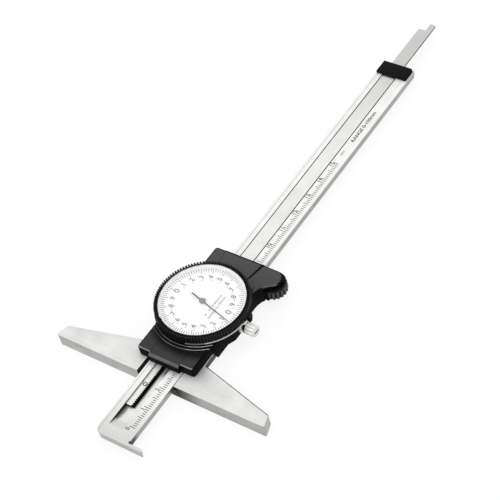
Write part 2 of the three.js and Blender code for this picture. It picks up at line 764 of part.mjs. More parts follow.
// Movement: plate, pillars, bridge, rack pinion, wheels and centre pinion
{
  const outline = [
    [-plateHalfWidth, plateFrontY],
    [plateHalfWidth, plateFrontY],
    [plateHalfWidth, plateNotchY],
    [plateNotchX, plateNotchY],
    [plateNotchX, plateBackY],
    [-plateHalfWidth, plateBackY],
  ];
  const low = plateBottom - cutOver;
  const high = bridgeTop + cutOver;
  const screwHole = rod(screwShankRadius + shaftGap, low, plateTop + cutOver, tinyFacets);
  const rodMiddle = half * (grooveLeftX + grooveRightX);
  const holeSpots = [...plateScrewSpots, [rodMiddle, rodScrewFirstY], [rodMiddle, rodScrewLastY]];
  for (const angle of caseScrewAngles) {
    holeSpots.push([caseScrewRing * Math.cos(angle), caseScrewRing * Math.sin(angle)]);
  }
  let plate = slab(outline, plateBottom, plateTop);
  for (const [x, y] of holeSpots) plate = plate.subtract(at(screwHole, x, y));
  let bridge = rod(bridgeRadius, bridgeBottom, bridgeTop, midFacets);
  const arborHole = at(rod(arborRadius + shaftGap, low, high, smallFacets), arborX, arborY);
  const spindleHole = rod(spindleRadius + shaftGap, low, high, smallFacets);
  plate = plate.subtract(arborHole).subtract(spindleHole);
  bridge = bridge.subtract(arborHole).subtract(spindleHole);
  const pillarHole = rod(pillarNeckRadius + shaftGap, low, high, tinyFacets);
  const pillar = turned([
    [0, plateBottom],
    [pillarNeckRadius, plateBottom],
    [pillarNeckRadius, plateTop + shaftGap],
    [pillarRadius, plateTop + shaftGap],
    [pillarRadius, bridgeBottom - shaftGap],
    [pillarNeckRadius, bridgeBottom - shaftGap],
    [pillarNeckRadius, bridgeTop],
    [0, bridgeTop],
  ], tinyFacets);
  pillarSpots.forEach(([x, y], i) => {
    plate = plate.subtract(at(pillarHole, x, y));
    bridge = bridge.subtract(at(pillarHole, x, y));
    addNode(`bridge_pillar_${'abc'[i]}`, at(pillar, x, y), brass);
  });
  addNode('movement_plate', plate, brass);
  addNode('movement_bridge', bridge, brass);
  const screw = slottedScrew(screwHeadRadius, screwHeadTall, screwShankRadius, screwDepth, plateScrewSeat);
  ['front_left', 'front_right', 'rear_left', 'rear_right'].forEach((place, i) => {
    addNode(`plate_screw_${place}`, at(screw, ...plateScrewSpots[i]), darkSteel);
  });

  const meshAngle = Math.atan2(-arborY, -arborX);
  const pinion = slab(
    toothedOutline(
      pinionTeeth, pinionPitchRadius, toothRise, toothDip, pinionTipShare, pinionRootShare, halfTurn,
    ),
    rackBottom, rackTop,
  );
  const arbor = pinion.add(rod(arborRadius, rackBottom, arborTop, smallFacets));
  addNode('pinion_arbor', at(arbor, arborX, arborY), steel);

  const wheelPitchRadius = half * gearModule * wheelTeeth;
  const wheelStep = fullTurn / wheelTeeth;
  const wheelOutline = toothedOutline(
    wheelTeeth, wheelPitchRadius, toothRise, toothDip, wheelTipShare, wheelRootShare,
    meshAngle + half * wheelStep,
  );
  const wheelBore = rod(wheelHubHole, low, high, smallFacets);
  for (const [name, bottom] of [['main_wheel', mainWheelBottom], ['backlash_wheel', backlashWheelBottom]]) {
    const wheel = slab(wheelOutline, bottom, bottom + wheelThick).subtract(wheelBore);
    addNode(name, at(wheel, arborX, arborY), brass);
  }
  const springOutline = [
    ...arc(0, 0, wheelSpringRadius + wheelSpringWidth, 0, wheelSpringSweep, midFacets),
    ...arc(0, 0, wheelSpringRadius, wheelSpringSweep, 0, midFacets),
  ];
  const wheelSpring = slab(springOutline, wheelSpringBottom, wheelSpringBottom + wheelSpringThick);
  addNode('backlash_spring', at(wheelSpring, arborX, arborY), steel);

  const centrePitchRadius = half * gearModule * centreTeeth;
  const centreOutline = toothedOutline(
    centreTeeth, centrePitchRadius, toothRise, toothDip, pinionTipShare, pinionRootShare,
    meshAngle + halfTurn,
  );
  const centre = slab(centreOutline, centrePinionBottom, centrePinionTop);
  addNode('centre_arbor', centre.add(rod(spindleRadius, plateBottom, spindleTop, smallFacets)), steel);
}

// Three plastic covers over the slider, parted by two fine joints
const wingNeckRadius = Math.hypot(wingNeckX - wingTipX, wingNeckY - wingTipY) - wingTipRadius;
const wingJoinAngle = Math.atan2(wingTipY - wingNeckY, wingTipX - wingNeckX);
const wingSide = [
  ...arc(wingNeckX, wingNeckY, wingNeckRadius, halfTurn, wingJoinAngle, cornerSteps),
  ...arc(wingTipX, wingTipY, wingTipRadius, wingJoinAngle - halfTurn, quarterTurn, smallFacets),
];
const skirtSide = [
  [skirtX, skirtFrontY],
  [skirtX, -lugHalfLength - lugRamp],
  [lugX, -lugHalfLength],
  [lugX, lugHalfLength],
  [wingNeckX - wingNeckRadius, lugHalfLength + lugRamp],
];
{
  const bottom = baseThick + seatGap;
  const frontCornerY = coverFrontY + coverCorner;
  const sideX = coverHalfWidth - coverCorner;
  const backLeftY = coverBackY - coverCorner;
  const outline = [
    ...arc(-sideX, frontCornerY, coverCorner, halfTurn, halfTurn + quarterTurn, cornerSteps),
    ...arc(sideX, frontCornerY, coverCorner, -quarterTurn, 0, cornerSteps),
    [coverHalfWidth, skirtFrontY - (skirtX - coverHalfWidth)],
    ...skirtSide,
    ...wingSide,
    ...arc(-sideX, backLeftY, coverCorner, quarterTurn, halfTurn, cornerSteps),
  ];
  let whole = crownedSlab(outline, bottom, coverTop, coverEdge, roundedEdge);
  const stepSide = coverHalfWidth - coverEdge;
  for (const [radius, tall] of [[lowStepRadius, lowStepTall], [highStepRadius, highStepTall]]) {
    const step = rod(radius, coverTop - cutOver, coverTop + tall, wideFacets);
    whole = whole.add(step.intersect(box(-stepSide, stepSide, -radius, radius, bottom, coverTop + cutOver)));
  }
  const hollow = box(-coverPocketHalf, coverPocketHalf, -coverPocketY, coverPocketY, 0, coverPocketTop);
  const bore = rod(coverBore, 0, coverTop + highStepTall + cutOver, wideFacets);
  const recess = box(-stopRecessHalf, stopRecessHalf, stopRecessY, centreBackY + cutOver, 0, stopRecessTop);
  whole = whole.subtract(hollow).subtract(bore).subtract(recess);

  const jointSide = (sign, gap, rearWaist, back) => {
    const ring = centreRing + gap;
    const hidden = arc(
      0, 0, ring, Math.acos((rearWaist + gap) / ring), -Math.acos((centreWaistHalf + gap) / ring), tinyFacets,
    );
    const side = [
      [back + gap, centreBackY + cutOver],
      [back + gap, coverBackY],
      [rearWaist + gap, centreRearWaistY],
      ...hidden,
      [centreWaistHalf + gap, centreWaistY],
      [centreFrontHalf + gap, coverFrontY],
      [centreFrontHalf + gap, centreFrontY - cutOver],
    ];
    return side.map(([x, y]) => [sign * x, y]);
  };
  const far = lugX + wingNeckRadius;
  const leftPanel = [
    ...jointSide(-1, coverJoint, centreRearWaistLeft, centreBackLeft),
    [-far, centreFrontY - cutOver],
    [-far, centreBackY + cutOver],
  ].reverse();
  const rightPanel = [
    ...jointSide(1, coverJoint, centreRearWaistRight, centreBackRight),
    [far, centreFrontY - cutOver],
    [far, centreBackY + cutOver],
  ];
  const centreSides = [
    ...jointSide(-1, 0, centreRearWaistLeft, centreBackLeft),
    ...jointSide(1, 0, centreRearWaistRight, centreBackRight).reverse(),
  ];
  const low = bottom - cutOver;
  const high = coverTop + highStepTall + cutOver;

  let left = whole.intersect(slab(leftPanel, low, high));
  let right = whole.intersect(slab(rightPanel, low, high));
  const skirtOutline = [
    [skirtInnerX + seatGap, skirtFrontY],
    ...skirtSide,
    ...wingSide,
    [skirtInnerX + seatGap, wingTipY + wingTipRadius],
  ];
  right = right.add(slab(skirtOutline, flangeBottom, bottom + cutOver));
  const rollerBay = rod(rollerRadius + rollerBayGap, 0, coverTop - wingThick, midFacets);
  const axleHole = rod(axleRadius + shaftGap, 0, axleTop + shaftGap, smallFacets);
  right = right.subtract(at(rollerBay, rollerX, rollerY)).subtract(at(axleHole, rollerX, rollerY));
  const boreStart = clampThreadStart - shaftGap;
  const clampBore = rod(clampThreadRadius + shaftGap, boreStart, lugX + cutOver, smallFacets);
  right = right.subtract(alongX(clampBore, 0, clampHeight));
  const screwHole = rod(coverScrewRadius + shaftGap, 0, coverScrewTop + shaftGap, tinyFacets);
  for (const [place, x, y] of coverScrewSpots) {
    if (place.startsWith('left')) left = left.subtract(at(screwHole, x, y));
    if (place.startsWith('right')) right = right.subtract(at(screwHole, x, y));
  }
  addNode('cover_left', left, plastic);
  addNode('cover_right', right, plastic);

  const noseSide = (edgeY, sign, from, to) => arc(
    edgeY + sign * centreNose, coverTop - centreNose, centreNose, from, to, cornerSteps,
  );
  const nose = across([
    [coverFrontY + centreNose, bottom + noseLift],
    [coverFrontY + centreNose, coverTop],
    ...noseSide(centreFrontY, 1, quarterTurn, halfTurn),
    [centreFrontY, bottom + noseLift],
  ], -centreFrontHalf, centreFrontHalf);
  const tail = across([
    [centreBackY, bottom + noseLift],
    ...noseSide(centreBackY, -1, 0, quarterTurn),
    [coverBackY - centreNose, coverTop],
    [coverBackY - centreNose, bottom + noseLift],
  ], -centreBackLeft, centreBackRight);
  let centre = whole.add(nose).add(tail.subtract(recess)).intersect(slab(centreSides, low, high));
  const post = rod(casePostRadius, casePostBottom, coverPocketTop + shaftGap, tinyFacets);
  const postHole = rod(screwShankRadius + shaftGap, 0, high, tinyFacets);
  for (const angle of caseScrewAngles) {
    const x = caseScrewRing * Math.cos(angle);
    const y = caseScrewRing * Math.sin(angle);
    centre = centre.add(at(post, x, y)).subtract(at(postHole, x, y));
  }
  addNode('cover_centre', centre, plastic);
  for (const [place, x, y, seat] of coverScrewSpots) {
    const screw = slottedScrew(
      coverScrewHeadRadius, coverScrewHeadTall, coverScrewRadius, coverScrewTop - seat, -seat + shaftGap,
    );
    addNode(`cover_screw_${place}`, at(screw.mirror([0, 0, 1]), x, y), darkSteel);
  }
}

// Thumb roller on its axle, and the small wheel between it and the beam's edge
{
  const ribs = toothedOutline(rollerRibs, rollerRadius, 0, rollerRibDepth, ribTipShare, ribRootShare, 0);
  const flange = rod(rollerRadius - half * rollerRibDepth, rollerRibTop, rollerTop, midFacets);
  const bore = rod(axleRadius + shaftGap, rollerBottom - cutOver, rollerTop + cutOver, smallFacets);
  const roller = slab(ribs, rollerBottom, rollerRibTop).add(flange).subtract(bore);
  addNode('thumb_roller', at(roller, rollerX, rollerY), gloss);
  const axle = turned([
    [0, rollerBottom - shaftGap - axleHeadTall],
    [axleHeadRadius, rollerBottom - shaftGap - axleHeadTall],
    [axleHeadRadius, rollerBottom - shaftGap],
    [axleRadius, rollerBottom - shaftGap],
    [axleRadius, axleTop],
    [0, axleTop],
  ], smallFacets);
  addNode('roller_axle', at(axle, rollerX, rollerY), darkSteel);
  const wheel = rod(driveWheelRadius, driveWheelBottom, driveWheelTop, midFacets);
  const low = driveWheelBottom - cutOver;
  const wheelBore = rod(drivePinRadius + shaftGap, low, driveWheelTop + cutOver, smallFacets);
  addNode('drive_wheel', at(wheel.subtract(wheelBore), driveWheelX, rollerY), steel);
  const pin = rod(drivePinRadius, drivePinBottom, drivePinTop, smallFacets);
  addNode('drive_wheel_pin', at(pin, driveWheelX, rollerY), steel);
}

// Dial case with its three screws
{
  const profile = [
    [caseHole, caseBottom],
    [caseOuter, caseBottom],
    [caseOuter, caseTop],
    [caseOuter - caseWall, caseTop],
    [caseOuter - caseWall, caseBottom + caseFloor],
    [caseHole, caseBottom + caseFloor],
  ];
  let dialCase = turned(profile, wideFacets);
  const hole = rod(screwShankRadius + shaftGap, caseBottom - cutOver, caseTop + cutOver, tinyFacets);
  const seat = caseBottom + caseFloor + shaftGap;
  const screw = slottedScrew(screwHeadRadius, caseScrewHeadTall, screwShankRadius, caseScrewDepth, seat);
  caseScrewAngles.forEach((angle, i) => {
    const x = caseScrewRing * Math.cos(angle);
    const y = caseScrewRing * Math.sin(angle);
    dialCase = dialCase.subtract(at(hole, x, y));
    addNode(`case_screw_${'abc'[i]}`, at(screw, x, y), darkSteel);
  });
  addNode('dial_case', dialCase, gloss);
}

// Bezel that turns on the case, with spring ring, dial face, rim ring and crystal
addNode('bezel', turned([
  [bezelBore, bezelBottom],
  [bezelRadius + bezelFlange, bezelBottom],
  [bezelRadius + bezelFlange, bezelBottom + bezelFlangeTall],
  [bezelRadius, bezelBottom + bezelFlangeTall],
  [bezelTopRadius + half * bezelEdge, bezelTop - bezelEdge],
  [bezelTopRadius - half * bezelEdge, bezelTop],
  [bezelMouth, bezelTop],
  [bezelMouth, bezelTop - bezelLip],
  [bezelBore, bezelTop - bezelLip],
], wideFacets), gloss);
addNode('face_spring_ring', turned([
  [springRingInner, springRingBottom],
  [springRingOuter, springRingBottom],
  [springRingOuter, springRingBottom + springRingThick],
  [springRingInner, springRingBottom + springRingThick],
], wideFacets), steel);
addNode('dial_face', turned([
  [faceHole, faceTop - faceThick],
  [faceRadius, faceTop - faceThick],
  [faceRadius, faceTop],
  [faceHole, faceTop],
], wideFacets), dialWhite);
addNode('rim_ring', turned([
  [rimInner, faceTop + shaftGap],
  [rimOuter, faceTop + shaftGap],
  [rimOuter, rimTop],
  [rimOuter - rimLip, rimTop],
  [rimInner, faceTop + shaftGap + rimLip],
], wideFacets), rimGrey);
addNode('crystal', rod(crystalRadius, crystalTop - crystalThick, crystalTop, wideFacets), glass);

// Pointer and its hub cap
{
  const outline = [
    [-pointerTail, -half * pointerTailWidth],
    [0, -half * pointerRootWidth],
    [pointerLength, -half * pointerTipWidth],
    [pointerLength, half * pointerTipWidth],
    [0, half * pointerRootWidth],
    [-pointerTail, half * pointerTailWidth],
  ];
  const blade = slab(outline, pointerBottom, pointerBottom + pointerThick);
  const boss = rod(pointerBoss, pointerBottom, pointerBottom + pointerThick, smallFacets);
  const hole = rod(spindleRadius + shaftGap, pointerBottom - cutOver, pointerBottom + cutOver, smallFacets);
  addNode('pointer', blade.add(boss).subtract(hole).rotate([0, 0, pointerAngle / degree]), pointerGrey);
  addNode('pointer_hub', turned([
    [0, spindleTop + shaftGap],
    [hubRadius, spindleTop + shaftGap],
    [hubRadius, hubTop - hubEdge],
    [hubRadius - hubEdge, hubTop],
    [0, hubTop],
  ], smallFacets), hubMetal);
}

// Knurled clamp screw and the tongue that it draws against the bezel
{
  const ribbed = slab(
    toothedOutline(clampRibs, clampHeadRadius, 0, clampRibDepth, ribTipShare, ribRootShare, 0),
    0, clampHeadLength,
  );
  const head = alongX(ribbed.translate([0, 0, clampHeadStart]), 0, clampHeight);
  const neckStart = lugX + seatGap;
  const neck = alongX(rod(clampNeckRadius, neckStart, clampHeadStart + cutOver, smallFacets), 0, clampHeight);
  const threadBar = rod(clampThreadRadius, clampThreadStart, neckStart + cutOver, smallFacets);
  const thread = alongX(threadBar, 0, clampHeight);
  const slotCut = box(
    clampHeadEnd - clampSlotDepth, clampHeadEnd + cutOver,
    -half * clampSlotWidth, half * clampSlotWidth,
    clampHeight - clampHeadRadius - cutOver, clampHeight + clampHeadRadius + cutOver,
  );
  addNode('bezel_clamp_screw', head.add(neck).add(thread).subtract(slotCut), chrome);
  const tongueEnd = tongueStart + tongueThick;
  const tongue = box(tongueStart, tongueEnd, -tongueHalfWidth, tongueHalfWidth, tongueBottom, tongueTop);
  const hole = alongX(
    rod(clampNeckRadius + shaftGap, tongueStart - cutOver, tongueEnd + cutOver, smallFacets), 0, clampHeight,
  );
  addNode('bezel_clamp_tongue', tongue.subtract(hole), chrome);
}

export default group;
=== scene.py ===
"""Dial depth gauge lying on its back on a white sheet, seen from in front and above."""
import math
import bmesh
import bpy
from mathutils import Matrix, Vector


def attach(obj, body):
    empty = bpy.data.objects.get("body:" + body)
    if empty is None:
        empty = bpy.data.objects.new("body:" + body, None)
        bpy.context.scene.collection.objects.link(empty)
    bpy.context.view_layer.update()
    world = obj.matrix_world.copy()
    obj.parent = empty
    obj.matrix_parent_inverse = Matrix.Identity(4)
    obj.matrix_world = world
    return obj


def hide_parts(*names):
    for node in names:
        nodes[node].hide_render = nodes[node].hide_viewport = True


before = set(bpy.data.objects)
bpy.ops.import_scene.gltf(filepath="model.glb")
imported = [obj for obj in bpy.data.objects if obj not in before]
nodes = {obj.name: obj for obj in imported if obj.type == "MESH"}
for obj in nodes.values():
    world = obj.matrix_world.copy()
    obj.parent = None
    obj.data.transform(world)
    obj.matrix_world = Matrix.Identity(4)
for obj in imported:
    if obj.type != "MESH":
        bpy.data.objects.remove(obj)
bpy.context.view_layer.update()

# The sheet that the gauge lies on, the light and the camera.
# A sheet of plain white card lies flat under the gauge. A large soft lamp behind and left shows in
# the gauge's upper faces, a smaller one lights its rounded front edges, and one on the right lights
# the walls on that side.
MM = 0.001


def colour(text):
    """Linear colour of an sRGB hex value."""
    parts = [int(text[i:i + 2], 16) / 255 for i in (1, 3, 5)]
    return tuple(c / 12.92 if c <= 0.04045 else ((c + 0.055) / 1.055) ** 2.4 for c in parts) + (1.0,)


def add(tree, kind, inputs=None, **settings):
    """Adds one node with its settings; an input is a value or another node's output."""
    made = tree.nodes.new(kind)
    for name, value in settings.items():
        setattr(made, name, value)
    for name, value in (inputs or {}).items():
        socket = made.inputs[name]
        if isinstance(value, bpy.types.NodeSocket):
            tree.links.new(value, socket)
        else:
            socket.default_value = value
    return made


def new_material(name):
    """An empty material, its node tree, and the place of each point on the object."""
    material = bpy.data.materials.new(name)
    material.use_nodes = True
    tree = material.node_tree
    tree.nodes.clear()
    return material, tree, add(tree, "ShaderNodeTexCoord").outputs["Object"]


def cells(size):
    """The scale of a noise whose cells have a size in millimetres."""
    return 1 / (size * MM)


def sheet_seen(tree):
    """1 for rays that look at the sheet itself, from the camera, in a gloss or through glass."""
    path = add(tree, "ShaderNodeLightPath")
    gloss = add(tree, "ShaderNodeMath", {0: path.outputs["Is Camera Ray"], 1: path.outputs["Is Glossy Ray"]},
                operation="MAXIMUM")
    return add(tree, "ShaderNodeMath", {0: gloss.outputs[0], 1: path.outputs["Is Transmission Ray"]},
               operation="MAXIMUM").outputs[0]


# White card is matt and faintly cloudy, in patches of about 9 mm. Most of it shows plain white, and
# the rest keeps the shadow.
plain_share = 0.85
card, tree, spot = new_material("white_card")
cloud = add(tree, "ShaderNodeTexNoise", {"Vector": spot, "Scale": cells(8.9), "Detail": 3.0})
tint = add(tree, "ShaderNodeMix", {0: cloud.outputs["Fac"], 6: colour("#f4f4f4"), 7: colour("#ffffff")},
           data_type="RGBA")
paper = add(tree, "ShaderNodeBsdfDiffuse", {"Color": tint.outputs[2], "Roughness": 0.6})
glow = add(tree, "ShaderNodeEmission", {"Color": (1, 1, 1, 1), "Strength": 1.0})
share = add(tree, "ShaderNodeMath", {0: sheet_seen(tree), 1: plain_share}, operation="MULTIPLY")
both = add(tree, "ShaderNodeMixShader", {0: share.outputs[0], 1: paper.outputs[0], 2: glow.outputs[0]})
add(tree, "ShaderNodeOutputMaterial", {"Surface": both.outputs[0]})

mesh = bpy.data.meshes.new("sheet")
reach = 4.0
corners = [(-reach, -reach, 0), (reach, -reach, 0), (reach, reach, 0), (-reach, reach, 0)]
mesh.from_pydata(corners, [], [(0, 1, 2, 3)])
mesh.materials.append(card)
sheet = bpy.data.objects.new("sheet", mesh)
bpy.context.scene.collection.objects.link(sheet)

world = bpy.data.worlds.new("white_room")
bpy.context.scene.world = world
world.use_nodes = True
world.node_tree.nodes.clear()
tree = world.node_tree
sky = add(tree, "ShaderNodeBackground", {"Color": (1, 1, 1, 1), "Strength": 1.0})
add(tree, "ShaderNodeOutputWorld", {"Surface": sky.outputs[0]})

# Each lamp has its side in metres, its watts and its place. All point at the middle of the gauge.
gauge_middle = Vector((0, 0.04, 0))
for name, size, watts, stand in (("rear_lamp", 0.9, 0.7, (-0.5, 0.62, 0.9)),
                                 ("front_lamp", 0.4, 1.4, (-0.45, -0.6, 0.75)),
                                 ("side_lamp", 0.5, 1.3, (0.4, 0.1, 0.9))):
    lamp_data = bpy.data.lights.new(name, "AREA")
    lamp_data.shape = "SQUARE"
    lamp_data.size = size
    lamp_data.energy = watts
    lamp = bpy.data.objects.new(name, lamp_data)
    lamp.location = stand
    lamp.rotation_mode = "QUATERNION"
    lamp.rotation_quaternion = (gauge_middle - lamp.location).to_track_quat("-Z", "Y")
    bpy.context.scene.collection.objects.link(lamp)

# The camera stands where the beam's marks and the dial's edges say that the photo's stood. It looks
# at a point under the beam, in metres, and leans over to one side.
camera_stand = Vector((0.300864, -0.277474, 0.491972))
camera_aim = Vector((-0.0065126, 0.0399662, 0.0))
camera_lean = math.radians(-14.481)
camera_data = bpy.data.cameras.new("camera")
camera_data.sensor_width = 36.0
camera_data.lens = 115.054
camera_data.clip_start = 0.01
camera_data.clip_end = 20.0
camera = bpy.data.objects.new("camera", camera_data)
look = (camera_aim - camera_stand).to_track_quat("-Z", "Y").to_matrix().to_4x4()
camera.matrix_world = Matrix.Translation(camera_stand) @ look @ Matrix.Rotation(camera_lean, 4, "Z")
bpy.context.scene.collection.objects.link(camera)
bpy.context.scene.camera = camera
bpy.context.scene.view_settings.view_transform = "Standard"

# Base bar with the slider body.
# One hardened stainless steel forging. Its faces are surface ground, with grinding lines along the
# bar, and its edges are lightly broken. The right arm's front face carries painted shade beside the
# beam.

# The grinding lines are drawn 0.25 mm wide, so that they show, and 11.1 mm long.
grind_across = cells(0.25)
grind_along = cells(11.1)


def ground_steel(name, low, high, rough, along, metal=1.0, darkening=None, level=0.5):
    """Stainless steel with grinding lines along one axis, which are really about 0.05 mm apart.

    Darkening is an axis, the places in millimetres where it is full and gone, and its colour; some
    finishes use it for painted shade."""
    material, tree, spot = new_material(name)
    stretch = [grind_across, grind_across, grind_across]
    stretch["XYZ".index(along)] = grind_along
    lines = add(tree, "ShaderNodeMapping", {"Vector": spot, "Scale": stretch})
    scratch = add(tree, "ShaderNodeTexNoise", {"Vector": lines.outputs[0], "Scale": 1.0, "Detail": 4.0,
                                               "Roughness": 0.6})
    cloud = add(tree, "ShaderNodeTexNoise", {"Vector": spot, "Scale": cells(7.7), "Detail": 3.0})
    blend = add(tree, "ShaderNodeMix", {0: 0.45, 2: scratch.outputs["Fac"], 3: cloud.outputs["Fac"]},
                data_type="FLOAT")
    spread = add(tree, "ShaderNodeMapRange", {"Value": blend.outputs[0], "From Min": 0.35,
                                              "From Max": 0.65})
    shade = add(tree, "ShaderNodeMix", {0: spread.outputs[0], 6: colour(low), 7: colour(high)},
                data_type="RGBA")
    if darkening:
        axis, full, gone, dark = darkening
        parts = add(tree, "ShaderNodeSeparateXYZ", {0: spot})
        fade = add(tree, "ShaderNodeMapRange", {"Value": parts.outputs["XYZ".index(axis)],
                                                "From Min": full * MM, "From Max": gone * MM})
        shade = add(tree, "ShaderNodeMix", {0: fade.outputs[0], 6: colour(dark), 7: shade.outputs[2]},
                    data_type="RGBA")
    dull = add(tree, "ShaderNodeMapRange", {"Value": spread.outputs[0], "From Min": 0.0, "From Max": 1.0,
                                            "To Min": rough * 1.2, "To Max": rough * 0.85})
    bump = add(tree, "ShaderNodeBump", {"Height": scratch.outputs["Fac"], "Strength": 0.12,
                                        "Distance": 0.00002})
    steel = add(tree, "ShaderNodeBsdfPrincipled", {"Base Color": shade.outputs[2], "Metallic": metal,
                                                   "Roughness": dull.outputs[0], "Normal": bump.outputs[0],
                                                   "Specular IOR Level": level})
    add(tree, "ShaderNodeOutputMaterial", {"Surface": steel.outputs[0]})
    return material


# The ground top is pale and even; the ground edges are painted greyer as shade, and catch the room.
# The body's sides under the covers are painted dark grey as their shade, the right arm's front face
# is painted darker towards the beam as shade, and slots, gaps and shaded edges are painted nearly
# black as shade.
bar_face = ground_steel("ground_stainless_bar_face", "#cacac8", "#dededc", 0.45, "X", 0.35)
bar_edge = ground_steel("ground_stainless_bar_edge", "#a2a2a0", "#b8b8b6", 0.3, "X")
arm_edge = ground_steel("stainless_arm_edge_painted_shade", "#9c9c9a", "#b0b0ae", 0.4, "X", 0.3,
                        ("X", 9.5, 21.0, "#060606"), 0.1)
body_edge = ground_steel("stainless_body_edge_painted_shade", "#3c3c3b", "#545452", 0.4, "Y", 0.5, None, 0.2)
dark_edge = ground_steel("steel_edge_painted_shade", "#121212", "#20201f", 0.5, "Y", 0.15, None, 0.1)


def slab(outline, bottom, top):
    """Upright closed slab with the given outline in millimetres."""
    form = bmesh.new()
    low = [form.verts.new((x * MM, y * MM, bottom * MM)) for x, y in outline]
    high = [form.verts.new((x * MM, y * MM, top * MM)) for x, y in outline]
    form.faces.new(list(reversed(low)))
    form.faces.new(high)
    for i, corner in enumerate(low):
        after = (i + 1) % len(low)
        form.faces.new([corner, low[after], high[after], high[i]])
    bmesh.ops.recalc_face_normals(form, faces=form.faces)
    return form


def merged_copy(node):
    """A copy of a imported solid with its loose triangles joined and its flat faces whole."""
    form = bmesh.new()
    form.from_mesh(nodes[node].data)
    bmesh.ops.remove_doubles(form, verts=form.verts, dist=0.01 * MM)
    bmesh.ops.dissolve_limit(form, angle_limit=math.radians(1.0), verts=form.verts, edges=form.edges)
    return form


def break_edges(form, width, segments=2, limit=25.0, choose=None):
    """Rounds the sharp edges of a form."""
    sharp = [e for e in form.edges if e.is_manifold and e.calc_face_angle(0) > math.radians(limit)
             and (choose is None or choose(e))]
    bmesh.ops.bevel(form, geom=sharp, offset=width * MM, offset_type="OFFSET", segments=segments, profile=0.5,
                    affect="EDGES", clamp_overlap=True)


def place(form, name, body, materials, stands_for=(), smooth=30.0):
    """Turns a form into a finished piece that rides on a body."""
    mesh = bpy.data.meshes.new(name)
    bmesh.ops.triangulate(form, faces=[f for f in form.faces if len(f.verts) > 4])
    bmesh.ops.dissolve_degenerate(form, dist=0.002 * MM, edges=form.edges)
    form.normal_update()
    for f in form.faces:
        f.smooth = True
    for e in form.edges:
        e.smooth = len(e.link_faces) == 2 and e.calc_face_angle(4.0) < math.radians(smooth)
    form.to_mesh(mesh)
    form.free()
    for material in materials:
        mesh.materials.append(material)
    piece = bpy.data.objects.new(name, mesh)
    bpy.context.scene.collection.objects.link(piece)
    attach(piece, body)
    if stands_for:
        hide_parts(*stands_for)


def paint(form, rule, before=()):
    """Gives each face the finish that the rule names for it.

    Returns the finishes in the order of their numbers, after those that the piece had before."""
    finishes = list(before)
    form.normal_update()
    for f in form.faces:
        finish = rule(f)
        if finish not in finishes:
            finishes.append(finish)
        f.material_index = finishes.index(finish)
    return finishes


def cut_along(form, cuts, slack=0.0005):
    """Splits the faces of a form along planes, each a point in millimetres and a direction."""
    for point, way in cuts:
        bmesh.ops.bisect_plane(form, geom=form.verts[:] + form.edges[:] + form.faces[:], dist=slack * MM,
                               plane_co=[c * MM for c in point], plane_no=way)


across, lengthways, upwards = (1, 0, 0), (0, 1, 0), (0, 0, 1)

# A face counts as flat or square when its normal reaches this far along an axis.
flat, square = 0.95, 0.9

# Places on the bar in millimetres: its top, the right arm, its back, and the wall beside the gib.
top_from = 6.25
arm_from, arm_front, dark_from = 13.0, -15.0, 14.0
bar_back = -20.0
slot_wall = (-10.0, -9.0)
arm_break, fine_break = 0.5, 0.12
form = merged_copy("base_frame")
cut_along(form, [((0, 0, 0), across)])


def right_arm_back(edge):
    """The upper back edge of the right arm, which is broken wider than the others."""
    corners = [v.co / MM for v in edge.verts]
    on_top = all(c.z > top_from and c.x > arm_from and c.y < arm_front for c in corners)
    return on_top and max(f.normal.y for f in edge.link_faces) > 0.3


break_edges(form, arm_break, 1, 25.0, right_arm_back)
break_edges(form, fine_break, 2, 50.0)


def bar_rule(f):
    """Top faces are ground; the right arm's back edge and the wall beside the gib are painted shade, and the
    body sides are painted grey as shade.
    """
    middle = f.calc_center_median() / MM
    if middle.x > dark_from and f.normal.y > 0.2 and 0.2 < f.normal.z < flat:
        return dark_edge
    if abs(f.normal.z) > (flat if middle.y > bar_back else 0.5):
        return bar_face
    if middle.y > bar_back:
        return body_edge
    if f.normal.x > square and slot_wall[0] < middle.x < slot_wall[1]:
        return dark_edge
    return arm_edge if f.normal.y < -0.3 and middle.x > 0 else bar_edge


place(form, "bar_and_body", "slider", paint(form, bar_rule), ["base_frame"])

# Beam with its hook and engraved scale.
# One stainless steel strip, hardened and satin ground along its length, with a chamfer along its
# left edge, shown as a painted shade line, and etched marks. The gib strip beside it is thin steel,
# painted nearly black as the shade in its slot.

# The satin face is even and pale, its sides and edges are painted greyer as shade, and the milled
# groove catches more light. The line at the chamfer's inner edge is painted shade, and the groove's
# floor beside the rack has a painted shadow.
beam_face = ground_steel("satin_stainless_beam_face", "#dededc", "#e9e9e7", 0.42, "Y", 0.4,
                         ("Y", -68.0, -40.0, "#c4c4c2"))
beam_edge = ground_steel("ground_stainless_beam_edge", "#a3a3a1", "#bbbbb9", 0.3, "Y")
beam_side = ground_steel("ground_stainless_beam_side", "#969694", "#acacaa", 0.3, "Y", 0.9,
                         ("Y", -61.5, -58.5, "#4c4c4a"))
groove_face = ground_steel("milled_stainless_groove", "#d0d0ce", "#dededc", 0.3, "Y", 0.8)
groove_shadow = ground_steel("stainless_groove_painted_shadow", "#d0d0ce", "#dededc", 0.35, "Y", 0.5,
                          ("X", -1.25, -0.25, "#080808"), 0.2)
chamfer_shade_line = ground_steel("stainless_chamfer_painted_shade_line", "#80807e", "#949492", 0.5, "Y", 0.3, None, 0.2)


def finish_nodes(material, names):
    """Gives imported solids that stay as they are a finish."""
    for name in names:
        nodes[name].data.materials.clear()
        nodes[name].data.materials.append(material)


# The gib strip is painted nearly black, as the shade in its slot.
finish_nodes(dark_edge, ["gib_strip"])

